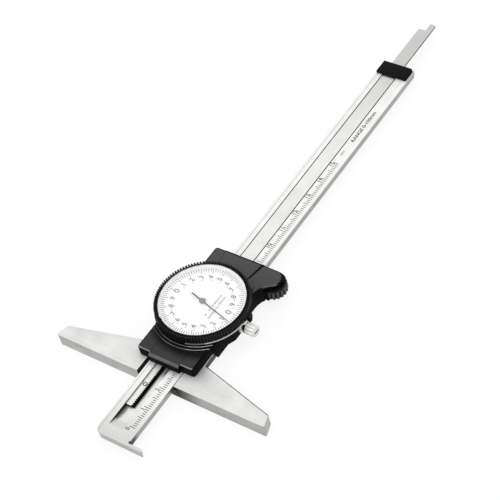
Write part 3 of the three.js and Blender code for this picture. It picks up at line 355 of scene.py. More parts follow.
# Places on the beam in millimetres: its top and right side, the chamfer's shade line, the groove's
# walls and floor, the band of its left wall that is painted pale like the top, and the part of its
# floor with a painted shadow.
beam_top, side_from, side_to = 6.3, 7.0, 9.0
line_left, line_right = -6.92, -6.74
groove_left, groove_right, groove_slack = -4.5, 2.2, 0.4
floor_below = 5.0
wall_low, wall_high = 4.95, 5.65
rack_front, shadow_back, shadow_side = -49.3, 10.0, -0.25
form = merged_copy("beam")


def top_edge(edge):
    """An edge that lies in the beam's top."""
    return all(abs(v.co.z - beam_top * MM) < 0.01 * MM for v in edge.verts)


break_edges(form, 0.22, 2, 40.0, top_edge)
cut_along(form, [((0, 0, wall_low), upwards), ((0, rack_front, 0), lengthways),
                 ((0, shadow_back, 0), lengthways), ((shadow_side, 0, 0), across), ((0, 0, wall_high), upwards),
                 ((line_left, 0, 0), across), ((line_right, 0, 0), across)])


def beam_rule(f):
    """Satin top, sides painted greyer as shade, and painted shade where the rack and the rod meet the groove.
    """
    middle = f.calc_center_median() / MM
    if line_left < middle.x < line_right and f.normal.z > flat and middle.z > beam_top - 0.1:
        return chamfer_shade_line
    inside = groove_left - groove_slack < middle.x < groove_right + groove_slack
    in_groove = inside and middle.z < beam_top - 0.01 and f.normal.z > -0.5
    if in_groove and middle.x < groove_left and f.normal.z < square:
        if middle.y < rack_front or f.normal.z > 0.3 or middle.z > wall_high:
            return dark_edge
        return beam_face if middle.z > wall_low else groove_face
    if in_groove and middle.x > groove_right and middle.y > shadow_back and f.normal.z < square:
        return dark_edge
    if f.normal.x > square and side_from < middle.x < side_to:
        return beam_side
    if f.normal.z < 0.5 or (f.normal.z < flat and not in_groove and middle.z > beam_top - 0.3):
        return beam_edge
    if middle.z >= floor_below:
        return beam_face
    shadowed = in_groove and middle.x < shadow_side and rack_front < middle.y < shadow_back
    return groove_shadow if shadowed else groove_face


place(form, "beam_with_hook", "beam", paint(form, beam_rule), ["beam"])

# Dark wax rubbed into etched marks is matt, and blacker near the hook, where it is least worn.
least_worn, most_worn = -50, -20
fill, tree, spot = new_material("etched_mark_fill")
speck = add(tree, "ShaderNodeTexNoise", {"Vector": spot, "Scale": cells(0.385), "Detail": 2.0})
dark = add(tree, "ShaderNodeMix", {0: speck.outputs["Fac"], 6: colour("#2c2c2c"), 7: colour("#4a4a4a")},
           data_type="RGBA")
parts = add(tree, "ShaderNodeSeparateXYZ", {0: spot})
rubbed = add(tree, "ShaderNodeMapRange", {"Value": parts.outputs[1], "From Min": least_worn * MM,
                                          "From Max": most_worn * MM})
dark = add(tree, "ShaderNodeMix", {0: rubbed.outputs[0], 6: colour("#0c0c0c"), 7: dark.outputs[2]},
           data_type="RGBA")
wax = add(tree, "ShaderNodeBsdfPrincipled", {"Base Color": dark.outputs[2], "Roughness": 0.7,
                                             "Specular IOR Level": 0.2})
add(tree, "ShaderNodeOutputMaterial", {"Surface": wax.outputs[0]})


def tree_inputs(name, inputs):
    """An empty geometry tree with named inputs of the given kinds, and its group input node."""
    tree = bpy.data.node_groups.new(name, "GeometryNodeTree")
    tree.interface.new_socket("Geometry", in_out="OUTPUT", socket_type="NodeSocketGeometry")
    for label, kind in inputs.items():
        tree.interface.new_socket(label, in_out="INPUT", socket_type="NodeSocket" + kind)
    return tree, add(tree, "NodeGroupInput").outputs


def grown(tree, values):
    """The plain mesh that a geometry tree makes from the given input values, as a form."""
    holder = bpy.data.objects.new("holder", bpy.data.meshes.new("holder"))
    bpy.context.scene.collection.objects.link(holder)
    modifier = holder.modifiers.new("tree", "NODES")
    modifier.node_group = tree
    for item in tree.interface.items_tree:
        if item.in_out == "INPUT":
            modifier[item.identifier] = values[item.name]
    ready = holder.evaluated_get(bpy.context.evaluated_depsgraph_get())
    mesh = bpy.data.meshes.new_from_object(ready)
    form = bmesh.new()
    form.from_mesh(mesh)
    bpy.data.objects.remove(holder)
    return form


def mark_length(tree, given):
    """Long for every tenth mark, middle for every fifth, short for the others."""
    index = add(tree, "GeometryNodeInputIndex").outputs[0]
    chosen = given["Short"]
    for every, label in ((given["Every"], "Middle"), (given["Group"], "Long")):
        rest = add(tree, "ShaderNodeMath", {0: index, 1: every}, operation="MODULO")
        whole = add(tree, "ShaderNodeMath", {0: rest.outputs[0], 1: 0.5}, operation="LESS_THAN")
        chosen = add(tree, "ShaderNodeMix", {0: whole.outputs[0], 2: chosen, 3: given[label]},
                     data_type="FLOAT").outputs[0]
    return chosen


def mark_bars(tree, given, points, turn):
    """Sets a bar on each point, reaching back from it by the mark's length."""
    bar = add(tree, "GeometryNodeMeshCube", {"Size": (1.0, 1.0, 1.0)})
    back = add(tree, "GeometryNodeTransform", {"Geometry": bar.outputs[0], "Translation": (-0.5, 0.0, 0.0)})
    size = add(tree, "ShaderNodeCombineXYZ", {0: mark_length(tree, given), 1: given["Width"],
                                              2: given["Thick"]})
    bars = add(tree, "GeometryNodeInstanceOnPoints", {"Points": points, "Instance": back.outputs[0],
                                                      "Scale": size.outputs[0]})
    if turn is not None:
        tree.links.new(turn, bars.inputs["Rotation"])
    solid = add(tree, "GeometryNodeRealizeInstances", {"Geometry": bars.outputs[0]})
    painted = add(tree, "GeometryNodeSetMaterial", {"Geometry": solid.outputs[0], "Material": fill})
    add(tree, "NodeGroupOutput", {"Geometry": painted.outputs[0]})


mark_kinds = {"Count": "Int", "Short": "Float", "Middle": "Float", "Long": "Float", "Every": "Int",
              "Group": "Int", "Width": "Float", "Thick": "Float"}
rule_tree, given = tree_inputs("rule_marks", {**mark_kinds, "Start": "Vector", "Pitch": "Vector"})
row = add(rule_tree, "GeometryNodeMeshLine", {"Count": given["Count"], "Start Location": given["Start"],
                                              "Offset": given["Pitch"]}, mode="OFFSET")
mark_bars(rule_tree, given, row.outputs[0], None)

# The scale's zero along the beam, how proud its marks stand, and where they start across it.
scale_zero = -57.65
mark_proud = 0.012
mark_start = 6.05
form = grown(rule_tree, {"Count": 151, "Short": 1.6 * MM, "Middle": 2.35 * MM, "Long": 2.75 * MM, "Every": 5,
                         "Group": 10, "Width": 0.28 * MM, "Thick": 2 * mark_proud * MM,
                         "Start": (mark_start * MM, scale_zero * MM, beam_top * MM), "Pitch": (0.0, MM, 0.0)})


def words(text, size, x, y, top, width=None, weight=0.0):
    """Flat lettering that reads along +Y with its tops towards -X, standing just proud of a face."""
    curve = bpy.data.curves.new("words", "FONT")
    curve.body = text
    curve.size = size * MM
    curve.align_x = "CENTER"
    curve.align_y = "CENTER"
    curve.extrude = mark_proud * MM
    curve.offset = weight * MM
    curve.resolution_u = 3
    holder = bpy.data.objects.new("words", curve)
    bpy.context.scene.collection.objects.link(holder)
    ready = holder.evaluated_get(bpy.context.evaluated_depsgraph_get())
    mesh = bpy.data.meshes.new_from_object(ready)
    bpy.data.objects.remove(holder)
    form = bmesh.new()
    form.from_mesh(mesh)
    bmesh.ops.remove_doubles(form, verts=form.verts, dist=0.001 * MM)
    spread = [v.co.x for v in form.verts]
    stretch = width * MM / (max(spread) - min(spread)) if width else 1.0
    turn = Matrix.Translation((x * MM, y * MM, top * MM)) @ Matrix.Rotation(math.pi / 2, 4, "Z")
    bmesh.ops.transform(form, matrix=turn @ Matrix.Diagonal((stretch, 1, 1, 1)), verts=form.verts)
    return form


def joined(form, other):
    """Adds another form's faces to a form."""
    mesh = bpy.data.meshes.new("other")
    other.to_mesh(mesh)
    other.free()
    form.from_mesh(mesh)
    return form


numeral_size, numeral_x, numeral_back = 2.55, 3.43, 1.3
for number in range(16):
    numeral_y = scale_zero + 10 * number - numeral_back
    form = joined(form, words(str(number), numeral_size, numeral_x, numeral_y, beam_top, weight=0.03))
form = joined(form, words("mm", 1.9, 4.0, 98.6, beam_top))
form = joined(form, words("RANGE 0-150mm", 2.3, 4.5, 115.8, beam_top, width=19.4, weight=0.05))
place(form, "beam_scale", "beam", [fill])

# Rack, its two screws, the depth rod and the end stop.
# The rack is a milled steel strip with 1 mm teeth, held in the groove by two slotted screws in
# counterbores. The rod is a thin ground strip. The stop is a black moulded block with round corners.

# The rack's top is bright, painted darker towards the teeth as shade that evens out the light across
# it, and the teeth are painted black as their shadow.
rack_face = ground_steel("ground_steel_rack_face", "#f2f2f0", "#f8f8f6", 0.4, "Y", 0.2,
                         ("X", -2.3, -3.9, "#d2d2d0"))
tooth_shadow = ground_steel("steel_rack_tooth_painted_shadow", "#101010", "#222221", 0.5, "Z", 0.4)
rack_left, groove_wall = -4.25, -4.52
form = merged_copy("rack")
for v in form.verts:
    if v.co.x < rack_left * MM:
        v.co.x = groove_wall * MM
tooth_root = -2.05
cut_along(form, [((tooth_root, 0, 0), across)], 0.001)


def rack_rule(f):
    """Bright top; the teeth and sides are painted black as shadow."""
    return rack_face if f.normal.z > 0.5 and f.calc_center_median().x < tooth_root * MM else tooth_shadow


place(form, "toothed_rack", "beam", paint(form, rack_rule), ["rack"])


def speckled(name, low, high, speck_size, rough, metal=0.0, level=0.5):
    """A finish of one roughness whose colour wanders between two, in specks of a size in millimetres."""
    material, tree, spot = new_material(name)
    speck = add(tree, "ShaderNodeTexNoise", {"Vector": spot, "Scale": cells(speck_size), "Detail": 2.0})
    shade = add(tree, "ShaderNodeMix", {0: speck.outputs["Fac"], 6: colour(low), 7: colour(high)},
                data_type="RGBA")
    surface = add(tree, "ShaderNodeBsdfPrincipled", {"Base Color": shade.outputs[2], "Metallic": metal,
                                                     "Roughness": rough, "Specular IOR Level": level})
    add(tree, "ShaderNodeOutputMaterial", {"Surface": surface.outputs[0]})
    return material


# Turned screw steel is grey and glints.
screw_steel = speckled("turned_screw_steel", "#8d8d8a", "#b4b4b1", 0.556, 0.28, 1.0)


def lathe(profile, steps):
    """Closed round form from radius and height pairs in millimetres, on the axis or closed on itself."""
    form = bmesh.new()
    rings = []
    for radius, height in profile:
        count = 1 if radius == 0 else steps
        turns = [2 * math.pi * i / steps for i in range(count)]
        rings.append([form.verts.new((radius * MM * math.cos(a), radius * MM * math.sin(a), height * MM))
                      for a in turns])
    pairs = list(zip(rings, rings[1:]))
    if profile[0][0] != 0:
        pairs.append((rings[-1], rings[0]))
    for lower, upper in pairs:
        for i in range(steps):
            j = (i + 1) % steps
            corners = [lower[i % len(lower)], lower[j % len(lower)]]
            corners += [upper[j % len(upper)], upper[i % len(upper)]]
            corners = list(dict.fromkeys(corners))
            if len(corners) > 2:
                form.faces.new(corners)
    bmesh.ops.recalc_face_normals(form, faces=form.faces)
    return form


def moved(form, x, y):
    """Shifts a form sideways by millimetres."""
    bmesh.ops.translate(form, vec=(x * MM, y * MM, 0), verts=form.verts)
    return form


def block(half_x, half_y, bottom, top):
    """Upright block on the axis, from half its sides in millimetres."""
    return slab([(-half_x, -half_y), (half_x, -half_y), (half_x, half_y), (-half_x, half_y)], bottom, top)


def slotted_head(radius, bottom, top, slot, shank, depth):
    """Round screw with a broken edge and one slot across its head."""
    edge_break, overrun, above = 0.1, 0.2, 0.5
    floor = top - (top - bottom) * 0.5
    form = lathe([(0, bottom - depth), (shank, bottom - depth), (shank, bottom), (radius, bottom),
                  (radius, top - edge_break), (radius - edge_break, top), (0, top)], 32)
    return carved(form, block(radius + overrun, slot / 2, floor, top + above))


def carved(form, cutter):
    """Takes one closed form away from another."""
    parts = []
    for label, source in (("body", form), ("cutter", cutter)):
        mesh = bpy.data.meshes.new(label)
        source.to_mesh(mesh)
        source.free()
        holder = bpy.data.objects.new(label, mesh)
        bpy.context.scene.collection.objects.link(holder)
        parts.append(holder)
    cut = parts[0].modifiers.new("cut", "BOOLEAN")
    cut.operation = "DIFFERENCE"
    cut.solver = "EXACT"
    cut.object = parts[1]
    ready = parts[0].evaluated_get(bpy.context.evaluated_depsgraph_get())
    mesh = bpy.data.meshes.new_from_object(ready)
    for holder in parts:
        bpy.data.objects.remove(holder)
    result = bmesh.new()
    result.from_mesh(mesh)
    return result


# The rack's screws in millimetres: their line, their heads and shanks, and the rings of painted shade round
# them.
screw_x = -3.3
head_radius, head_low, head_top, head_slot = 0.76, 4.93, 5.33, 0.2
shank_radius, shank_length = 0.4, 1.3
seat_inside, seat_radius, seat_low, seat_high = 0.74, 0.99, 5.2, 5.27


def rack_screw_rule(f):
    """Bright end face inside the edge of its counterbore, which is painted shade."""
    on_head = f.normal.z > square and f.calc_center_median().xy.length < seat_inside * MM
    return rack_face if on_head else dark_edge


for name, y in (("rack_screw_front", -38.4), ("rack_screw_rear", 112.3)):
    seat = lathe([(seat_inside, seat_low), (seat_radius, seat_low), (seat_radius, seat_high),
                  (seat_inside, seat_high)], 32)
    head = slotted_head(head_radius, head_low, head_top, head_slot, shank_radius, shank_length)
    form = joined(head, seat)
    finishes = paint(form, rack_screw_rule)
    place(moved(form, screw_x, y), name + "_turned", "beam", finishes, [name])

# Ground rod steel is an even light grey, darker towards its tip.
rod_face = ground_steel("ground_steel_rod_face", "#d2d2d0", "#dededc", 0.33, "Y", 0.9,
                        ("Y", 158.0, 110.0, "#bcbcba"))
rod_right = 2.0
form = merged_copy("depth_rod")
break_edges(form, 0.34, 1, 25.0, lambda e: all(v.co.x > rod_right * MM for v in e.verts))
break_edges(form, 0.08, 1, 50.0)


def rod_rule(f):
    """Ground top, sides painted grey as shade and a right edge painted dark as shade."""
    if f.normal.x > 0.4:
        return dark_edge
    return rod_face if f.normal.z > 0.5 else body_edge


place(form, "thin_depth_rod", "slider", paint(form, rod_rule), ["depth_rod"])

# Polished acetal is deep black, with soft dull reflections.
gloss, tree, spot = new_material("polished_black_acetal")
swirl = add(tree, "ShaderNodeTexNoise", {"Vector": spot, "Scale": cells(2.0), "Detail": 2.0})
smear = add(tree, "ShaderNodeMapRange", {"Value": swirl.outputs["Fac"], "To Min": 0.3, "To Max": 0.4})
shade = add(tree, "ShaderNodeMix", {0: swirl.outputs["Fac"], 6: colour("#050505"), 7: colour("#0b0b0b")},
            data_type="RGBA")
acetal = add(tree, "ShaderNodeBsdfPrincipled", {"Base Color": shade.outputs[2], "Roughness": smear.outputs[0],
                                                "Specular IOR Level": 0.06})
add(tree, "ShaderNodeOutputMaterial", {"Surface": acetal.outputs[0]})
form = merged_copy("end_stop")


def upright(edge):
    """An edge that stands straight up."""
    return (edge.verts[0].co - edge.verts[1].co).xy.length < 0.01 * MM


break_edges(form, 0.6, 3, 60.0, upright)
break_edges(form, 0.12, 2, 40.0)
place(form, "moulded_end_stop", "beam", [gloss], ["end_stop"])

# Movement under the dial.
# Brass plates and wheels, lacquered against tarnish, on steel arbors. None of it shows from outside
# unless the covers are off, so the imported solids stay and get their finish.

# Lacquered brass is warm yellow, with brush lines along the gauge's width under a thin gloss. They
# are drawn 8.3 mm long and 0.33 mm wide.
brush_lines = (cells(8.33), cells(0.333), cells(0.333))
brass, tree, spot = new_material("lacquered_brass")
lines = add(tree, "ShaderNodeMapping", {"Vector": spot, "Scale": brush_lines})
brushed = add(tree, "ShaderNodeTexNoise", {"Vector": lines.outputs[0], "Scale": 1.0, "Detail": 3.0})
shade = add(tree, "ShaderNodeMix", {0: brushed.outputs["Fac"], 6: colour("#b08f45"), 7: colour("#d2b46a")},
            data_type="RGBA")
lacquer = add(tree, "ShaderNodeBsdfPrincipled", {"Base Color": shade.outputs[2], "Metallic": 1.0,
                                                 "Roughness": 0.3, "Coat Weight": 0.3,
                                                 "Coat Roughness": 0.1})
add(tree, "ShaderNodeOutputMaterial", {"Surface": lacquer.outputs[0]})
finish_nodes(brass, ["movement_plate", "movement_bridge", "bridge_pillar_a", "bridge_pillar_b",
                     "bridge_pillar_c", "main_wheel", "backlash_wheel"])
for end in ("front", "rear"):
    finish_nodes(screw_steel, ["rod_screw_" + end, "gib_screw_" + end])
    for side in ("left", "right"):
        finish_nodes(screw_steel, [f"plate_screw_{end}_{side}", f"cover_screw_{side}_{end}"])
finish_nodes(screw_steel, ["pinion_arbor", "backlash_spring", "centre_arbor", "end_stop_screw_left",
                           "end_stop_screw_right", "case_screw_a", "case_screw_b", "case_screw_c",
                           "face_spring_ring", "roller_axle", "drive_wheel", "drive_wheel_pin"])

# Three covers over the slider.
# Black moulded plastic, parted by two joints and screwed from below. The right one has a curved guard
# beside the roller and a small lug beside the clamp screw. Two raised rings lie round the dial.

# Moulded ABS has a fine matt grain. It is black beside the dial; a painted sheen, standing for
# reflections, makes it dark grey in front and towards the back.
sheen_x, dark_ring, grey_ring, front_sheen = 2.5, 22.8, 26.0, 0.54
sheen_front, sheen_rear, rear_sheen = -14, 14, 0.95
moulded, tree, spot = new_material("moulded_black_abs")
grain = add(tree, "ShaderNodeTexNoise", {"Vector": spot, "Scale": cells(0.333), "Detail": 3.0})
cloud = add(tree, "ShaderNodeTexNoise", {"Vector": spot, "Scale": cells(11.1), "Detail": 2.0})
parts = add(tree, "ShaderNodeSeparateXYZ", {0: spot})
rear = add(tree, "ShaderNodeMapRange", {"Value": parts.outputs[1], "From Min": sheen_front * MM,
                                        "From Max": sheen_rear * MM, "To Min": 0.0, "To Max": rear_sheen})
flat_spot = add(tree, "ShaderNodeCombineXYZ", {0: parts.outputs[0], 1: parts.outputs[1]})
from_dial = add(tree, "ShaderNodeVectorMath", {0: flat_spot.outputs[0], 1: (sheen_x * MM, 0, 0)},
                operation="DISTANCE")
front = add(tree, "ShaderNodeMapRange", {"Value": from_dial.outputs["Value"], "From Min": dark_ring * MM,
                                         "From Max": grey_ring * MM, "To Min": 0.0, "To Max": front_sheen})
sheen = add(tree, "ShaderNodeMath", {0: rear.outputs[0], 1: front.outputs[0]}, operation="MAXIMUM")
mottle_and_sheen = add(tree, "ShaderNodeMath", {0: cloud.outputs["Fac"], 1: 0.12, 2: sheen.outputs[0]},
             operation="MULTIPLY_ADD")
shade = add(tree, "ShaderNodeMix", {0: mottle_and_sheen.outputs[0], 6: colour("#040404"), 7: colour("#484848")},
            data_type="RGBA")
bump = add(tree, "ShaderNodeBump", {"Height": grain.outputs["Fac"], "Strength": 0.1, "Distance": 0.00003})
abs_plastic = add(tree, "ShaderNodeBsdfPrincipled", {"Base Color": shade.outputs[2], "Roughness": 0.4,
                                                     "Specular IOR Level": 0.05, "Normal": bump.outputs[0]})
add(tree, "ShaderNodeOutputMaterial", {"Surface": abs_plastic.outputs[0]})

# Its walls are dull black. Its edges carry painted highlights in white, light grey and grey.
wall = speckled("moulded_black_wall", "#040404", "#0c0c0c", 2.5, 0.65, 0.0, 0.05)
white_highlight = speckled("mould_edge_painted_white_highlight", "#b0b0b0", "#dcdcdc", 3.33, 0.25, 0.6)
grey_highlight = speckled("mould_edge_painted_grey_highlight", "#3a3a3a", "#525252", 3.33, 0.35)
light_grey_highlight = speckled("mould_edge_painted_light_grey_highlight", "#585858", "#7a7a7a", 3.33, 0.35)

# Places on the covers in millimetres: the dark strips that show the joint, the rounded front, the
# centre cover's sides, the rear edges with painted highlights, and the lowest top that is matt.
strip_tops, strip_x, strip_reach = (11.115, 11.465), 9.0, 1.6
front_line, front_above = -26.5, 9.5
centre_left, centre_right = -8.2, 6.9
rear_from = 5.0
tops_from = 10.5


def cover_rule(f):
    """Matt tops and black walls; the front and rear edges carry painted highlights."""
    middle = f.calc_center_median() / MM
    slope = 0.25 < f.normal.z < 0.97
    on_strip = min(abs(middle.z - top) for top in strip_tops) < 0.002
    if on_strip and abs(middle.x - strip_x) < strip_reach:
        return wall
    if slope and f.normal.y < -0.2 and middle.y < front_line and middle.z > front_above:
        if centre_left < middle.x < centre_right:
            return grey_highlight if f.normal.z < 0.93 else moulded
        return light_grey_highlight if 0.72 < f.normal.z else wall
    if slope and f.normal.y < -0.2 and middle.y > rear_from and f.normal.z > 0.8:
        return grey_highlight
    return moulded if f.normal.z > 0.97 and middle.z > tops_from else wall


# The roller's axis in millimetres, and the guard that bends round it.
roller_x, roller_y = 16.9, 24.0
guard_outside, guard_inside, guard_low, guard_high = 6.0, 5.74, 4.2, 9.6
guard_turns = [math.radians(-152 + 4 * i) for i in range(19)]
guard = [(roller_x + guard_outside * math.cos(a), roller_y + guard_outside * math.sin(a))
         for a in guard_turns]
guard += [(roller_x + guard_inside * math.cos(a), roller_y + guard_inside * math.sin(a))
          for a in reversed(guard_turns)]
lug = [(15.5, 2.8), (19.9, 2.8), (20.0, 4.0), (18.7, 6.2), (15.5, 8.8)]
rear_strip = [(7.75, 19.8), (8.5, 19.8), (10.4, 28.55), (9.2, 28.55)]
ring_strip = [(7.45, 18.3), (8.15, 18.3), (8.5, 19.9), (7.8, 19.9)]
for node_name, name in (("cover_left", "left_cover"), ("cover_centre", "centre_cover"),
                        ("cover_right", "right_cover")):
    form = merged_copy(node_name)
    break_edges(form, 0.2, 2, 35.0)
    if node_name == "cover_centre":
        form = joined(form, slab(rear_strip, 11.0, strip_tops[0]))
        form = joined(form, slab(ring_strip, 11.3, strip_tops[1]))
    if node_name == "cover_right":
        form = joined(form, slab(guard, guard_low, guard_high))
        form = joined(form, slab(lug, 9.0, 11.9))
    place(form, name, "slider", paint(form, cover_rule), [node_name], smooth=40.0)

# The rings' edges are beads that end short of the covers' sides.
bead_radius = 0.12
rings_x, bead_reach = 0.4, 13.5
white_from, grey_to = 5.5, -6.5
form = bmesh.new()
for reach, top in ((21.45, 11.4), (20.25, 11.85)):
    turns = [math.radians(a) for a in range(0, 360, 60)]
    bead = lathe([(reach + bead_radius * math.cos(a), top + bead_radius * math.sin(a)) for a in turns], 180)
    beside = [f for f in bead.faces if f.calc_center_median().y > 0 or
              abs(f.calc_center_median().x - rings_x * MM) > bead_reach * MM]
    bmesh.ops.delete(bead, geom=beside, context="FACES")
    bmesh.ops.holes_fill(bead, edges=[e for e in bead.edges if e.is_boundary])
    form = joined(form, bead)


def bead_rule(f):
    """The raised rings carry a painted highlight: white on the right, light grey in the middle, grey on the
    left.
    """
    x = f.calc_center_median().x / MM
    if x > white_from:
        return white_highlight
    return grey_highlight if x < grey_to else light_grey_highlight


place(form, "raised_ring_edges", "slider", paint(form, bead_rule))

# Thumb roller.
# Black plastic wheel with eighteen rounded ribs below a smooth flange. It turns on a steel axle and
# drives the beam through a small steel wheel.
rib_kinds = {"Count": "Int", "Ring": "Float", "Radius": "Float", "Height": "Float", "Middle": "Float",
             "Sides": "Int"}
rib_tree, given = tree_inputs("ribs_round_a_wheel", rib_kinds)
lift = add(rib_tree, "ShaderNodeCombineXYZ", {2: given["Middle"]})
ring = add(rib_tree, "GeometryNodeMeshCircle", {"Vertices": given["Count"], "Radius": given["Ring"]})
raised = add(rib_tree, "GeometryNodeTransform", {"Geometry": ring.outputs[0], "Translation": lift.outputs[0]})
bar = add(rib_tree, "GeometryNodeMeshCylinder", {"Vertices": given["Sides"], "Radius": given["Radius"],
                                                 "Depth": given["Height"]})
ribs = add(rib_tree, "GeometryNodeInstanceOnPoints", {"Points": raised.outputs[0],
                                                      "Instance": bar.outputs[0]})
solid = add(rib_tree, "GeometryNodeRealizeInstances", {"Geometry": ribs.outputs[0]})
painted = add(rib_tree, "GeometryNodeSetMaterial", {"Geometry": solid.outputs[0], "Material": gloss})
add(rib_tree, "NodeGroupOutput", {"Geometry": painted.outputs[0]})


def ribbed(form, given, number=1):
    """Adds ribs with the piece's finish of that number to a turned form."""
    ribs = grown(rib_tree, given)
    for f in ribs.faces:
        f.material_index = number
    return joined(form, ribs)


# Polished acetal ribs are black with thin bright glints.
rib_gloss = speckled("polished_acetal_rib", "#0c0c0c", "#1a1a1a", 2.0, 0.25, 0.0, 0.6)
roller_outline = [(1.28, 4.3), (4.9, 4.3), (5.25, 4.6), (5.25, 8.6), (5.28, 8.7), (5.3, 8.8), (5.3, 9.25),
                  (5.2, 9.4), (1.28, 9.4)]
form = lathe(roller_outline, 96)
form = ribbed(form, {"Count": 18, "Ring": 5.02 * MM, "Radius": 0.54 * MM, "Height": 4.2 * MM,
                     "Middle": 6.45 * MM, "Sides": 14})
place(moved(form, roller_x, roller_y), "ribbed_thumb_roller", "thumb_roller",
      [gloss, rib_gloss], ["thumb_roller"])

# Dial case, bezel, rim ring, face and crystal.
# The case and the bezel are turned black plastic. A hundred fine ribs give the bezel its grip, and
# its lower lip carries a painted highlight on its front and right. The face is a white painted disc
# under a clear acrylic crystal.
finish_nodes(gloss, ["dial_case"])

# The bezel's ribs are painted a little paler than the ring, as a painted sheen on them.
crest = speckled("acetal_rib_painted_sheen", "#0e0e0e", "#222222", 1.43, 0.45, 0.0, 0.14)
bezel_outline = [(18.1, 12.55), (19.55, 12.55), (19.55, 13.0), (19.1, 13.1), (19.0, 15.4), (18.75, 16.0),
                 (18.45, 16.28), (18.12, 16.3), (18.0, 16.2), (18.0, 16.05), (18.1, 16.05)]
form = lathe(bezel_outline, 200)
form = ribbed(form, {"Count": 100, "Ring": 19.15 * MM, "Radius": 0.42 * MM, "Height": 3.15 * MM,
                     "Middle": 14.62 * MM, "Sides": 8})
place(form, "ribbed_bezel", "bezel", [gloss, crest], ["bezel"])

# The lip below the ribs, and the degrees round the dial between which its painted highlight is
# white and light grey.
lip_outline = [(19.4, 12.56), (19.85, 12.6), (19.9, 12.72), (19.85, 12.88), (19.4, 13.0)]
white_turns, light_grey_turns = (-54, -4), (-78, 0)
form = lathe(lip_outline, 200)


def lip_rule(f):
    """The lip carries a painted highlight from the front round to the clamp screw, white in the middle."""
    turn = math.degrees(math.atan2(f.calc_center_median().y, f.calc_center_median().x))
    if white_turns[0] < turn < white_turns[1]:
        return white_highlight
    return light_grey_highlight if light_grey_turns[0] < turn < light_grey_turns[1] else gloss


place(form, "bezel_lip", "bezel", paint(form, lip_rule))

# Satin rim paint and matt dial paint are white, the rim a shade warmer.
rim_paint = speckled("satin_grey_rim_paint", "#eeeeec", "#f8f8f6", 1.67, 0.4)
dial_paint = speckled("matt_white_dial_paint", "#f6f6f6", "#fefefe", 0.25, 0.6)
rim_outline = [(16.75, 14.58), (17.75, 14.58), (17.75, 15.7), (17.5, 15.7), (17.1, 15.1), (16.75, 14.75)]
form = lathe(rim_outline, 160)
place(form, "rim_ring_cone", "bezel", [rim_paint], ["rim_ring"])
face_bore, face_radius, face_low, face_top, face_break = 1.0, 17.7, 14.1, 14.5, 0.04
form = lathe([(face_bore, face_low), (face_radius, face_low), (face_radius, face_top - face_break),
              (face_radius - face_break, face_top), (face_bore, face_top)], 160)
place(form, "white_dial_face", "bezel", [dial_paint], ["dial_face"])

# The marks and figures are printed on the face with the dark fill of the beam's marks.
ring_tree, given = tree_inputs("dial_marks", {**mark_kinds, "Ring": "Float", "Height": "Vector"})
circle = add(ring_tree, "GeometryNodeMeshCircle", {"Vertices": given["Count"], "Radius": given["Ring"]})
raised = add(ring_tree, "GeometryNodeTransform", {"Geometry": circle.outputs[0],
                                                  "Translation": given["Height"]})
index = add(ring_tree, "GeometryNodeInputIndex")
share = add(ring_tree, "ShaderNodeMath", {0: index.outputs[0], 1: given["Count"]}, operation="DIVIDE")
angle = add(ring_tree, "ShaderNodeMath", {0: share.outputs[0], 1: 2 * math.pi}, operation="MULTIPLY")
turn = add(ring_tree, "ShaderNodeCombineXYZ", {2: angle.outputs[0]})
mark_bars(ring_tree, given, raised.outputs[0], turn.outputs[0])
form = grown(ring_tree, {"Count": 100, "Short": 1.5 * MM, "Middle": 2.4 * MM, "Long": 2.4 * MM, "Every": 5,
                         "Group": 10, "Width": 0.22 * MM, "Thick": 2 * mark_proud * MM, "Ring": 16.8 * MM,
                         "Height": (0.0, 0.0, face_top * MM)})
number_ring, number_size, zero_size = 12.5, 3.2, 3.8
spot_x, spot_y, spot_radius = 1.1, -1.3, 0.2
for k in range(20):
    angle = math.pi - k * math.pi / 10
    x, y = number_ring * math.cos(angle), number_ring * math.sin(angle)
    form = joined(form, words(str(k % 10), number_size if k % 10 else zero_size, x, y, face_top))
    if k % 10:
        low, high = face_top - mark_proud, face_top + mark_proud
        dot = lathe([(0, low), (spot_radius, low), (spot_radius, high), (0, high)], 12)
        form = joined(form, moved(dot, x + spot_x, y + spot_y))
form = joined(form, words("0.02mm", 1.5, 5.0, 2.8, face_top, width=6.3))
form = joined(form, words("RANGE 0-150mm", 1.5, 7.0, -0.25, face_top, width=11.9))
for y, way in ((-2.4, 1), (-4.95, -1)):
    tip = slab([(4.6, y - 0.25 * way), (5.25, y - 0.25 * way), (4.92, y + 0.75 * way)][::way],
               face_top - mark_proud, face_top + mark_proud)
    form = joined(form, tip)
place(form, "dial_print", "bezel", [fill])

# Cast acrylic is clear, with a faint smear on its polish.
acrylic, tree, spot = new_material("clear_cast_acrylic")
swirl = add(tree, "ShaderNodeTexNoise", {"Vector": spot, "Scale": cells(16.7), "Detail": 1.0})
smear = add(tree, "ShaderNodeMapRange", {"Value": swirl.outputs["Fac"], "To Min": 0.0, "To Max": 0.03})
clear = add(tree, "ShaderNodeBsdfPrincipled", {"Base Color": colour("#ffffff"), "Roughness": smear.outputs[0],
                                               "IOR": 1.49, "Transmission Weight": 1.0})
open_air = add(tree, "ShaderNodeBsdfTransparent", {"Color": (0.97, 0.97, 0.97, 1.0)})
path = add(tree, "ShaderNodeLightPath")
through = add(tree, "ShaderNodeMixShader", {0: path.outputs["Is Shadow Ray"], 1: clear.outputs[0],
                                            2: open_air.outputs[0]})
add(tree, "ShaderNodeOutputMaterial", {"Surface": through.outputs[0]})
glass_radius, glass_low, glass_top, glass_break = 17.8, 15.85, 16.25, 0.06
form = lathe([(0, glass_low), (glass_radius, glass_low), (glass_radius, glass_top - glass_break),
              (glass_radius - glass_break, glass_top), (0, glass_top)], 160)
place(form, "clear_crystal", "bezel", [acrylic], ["crystal"])

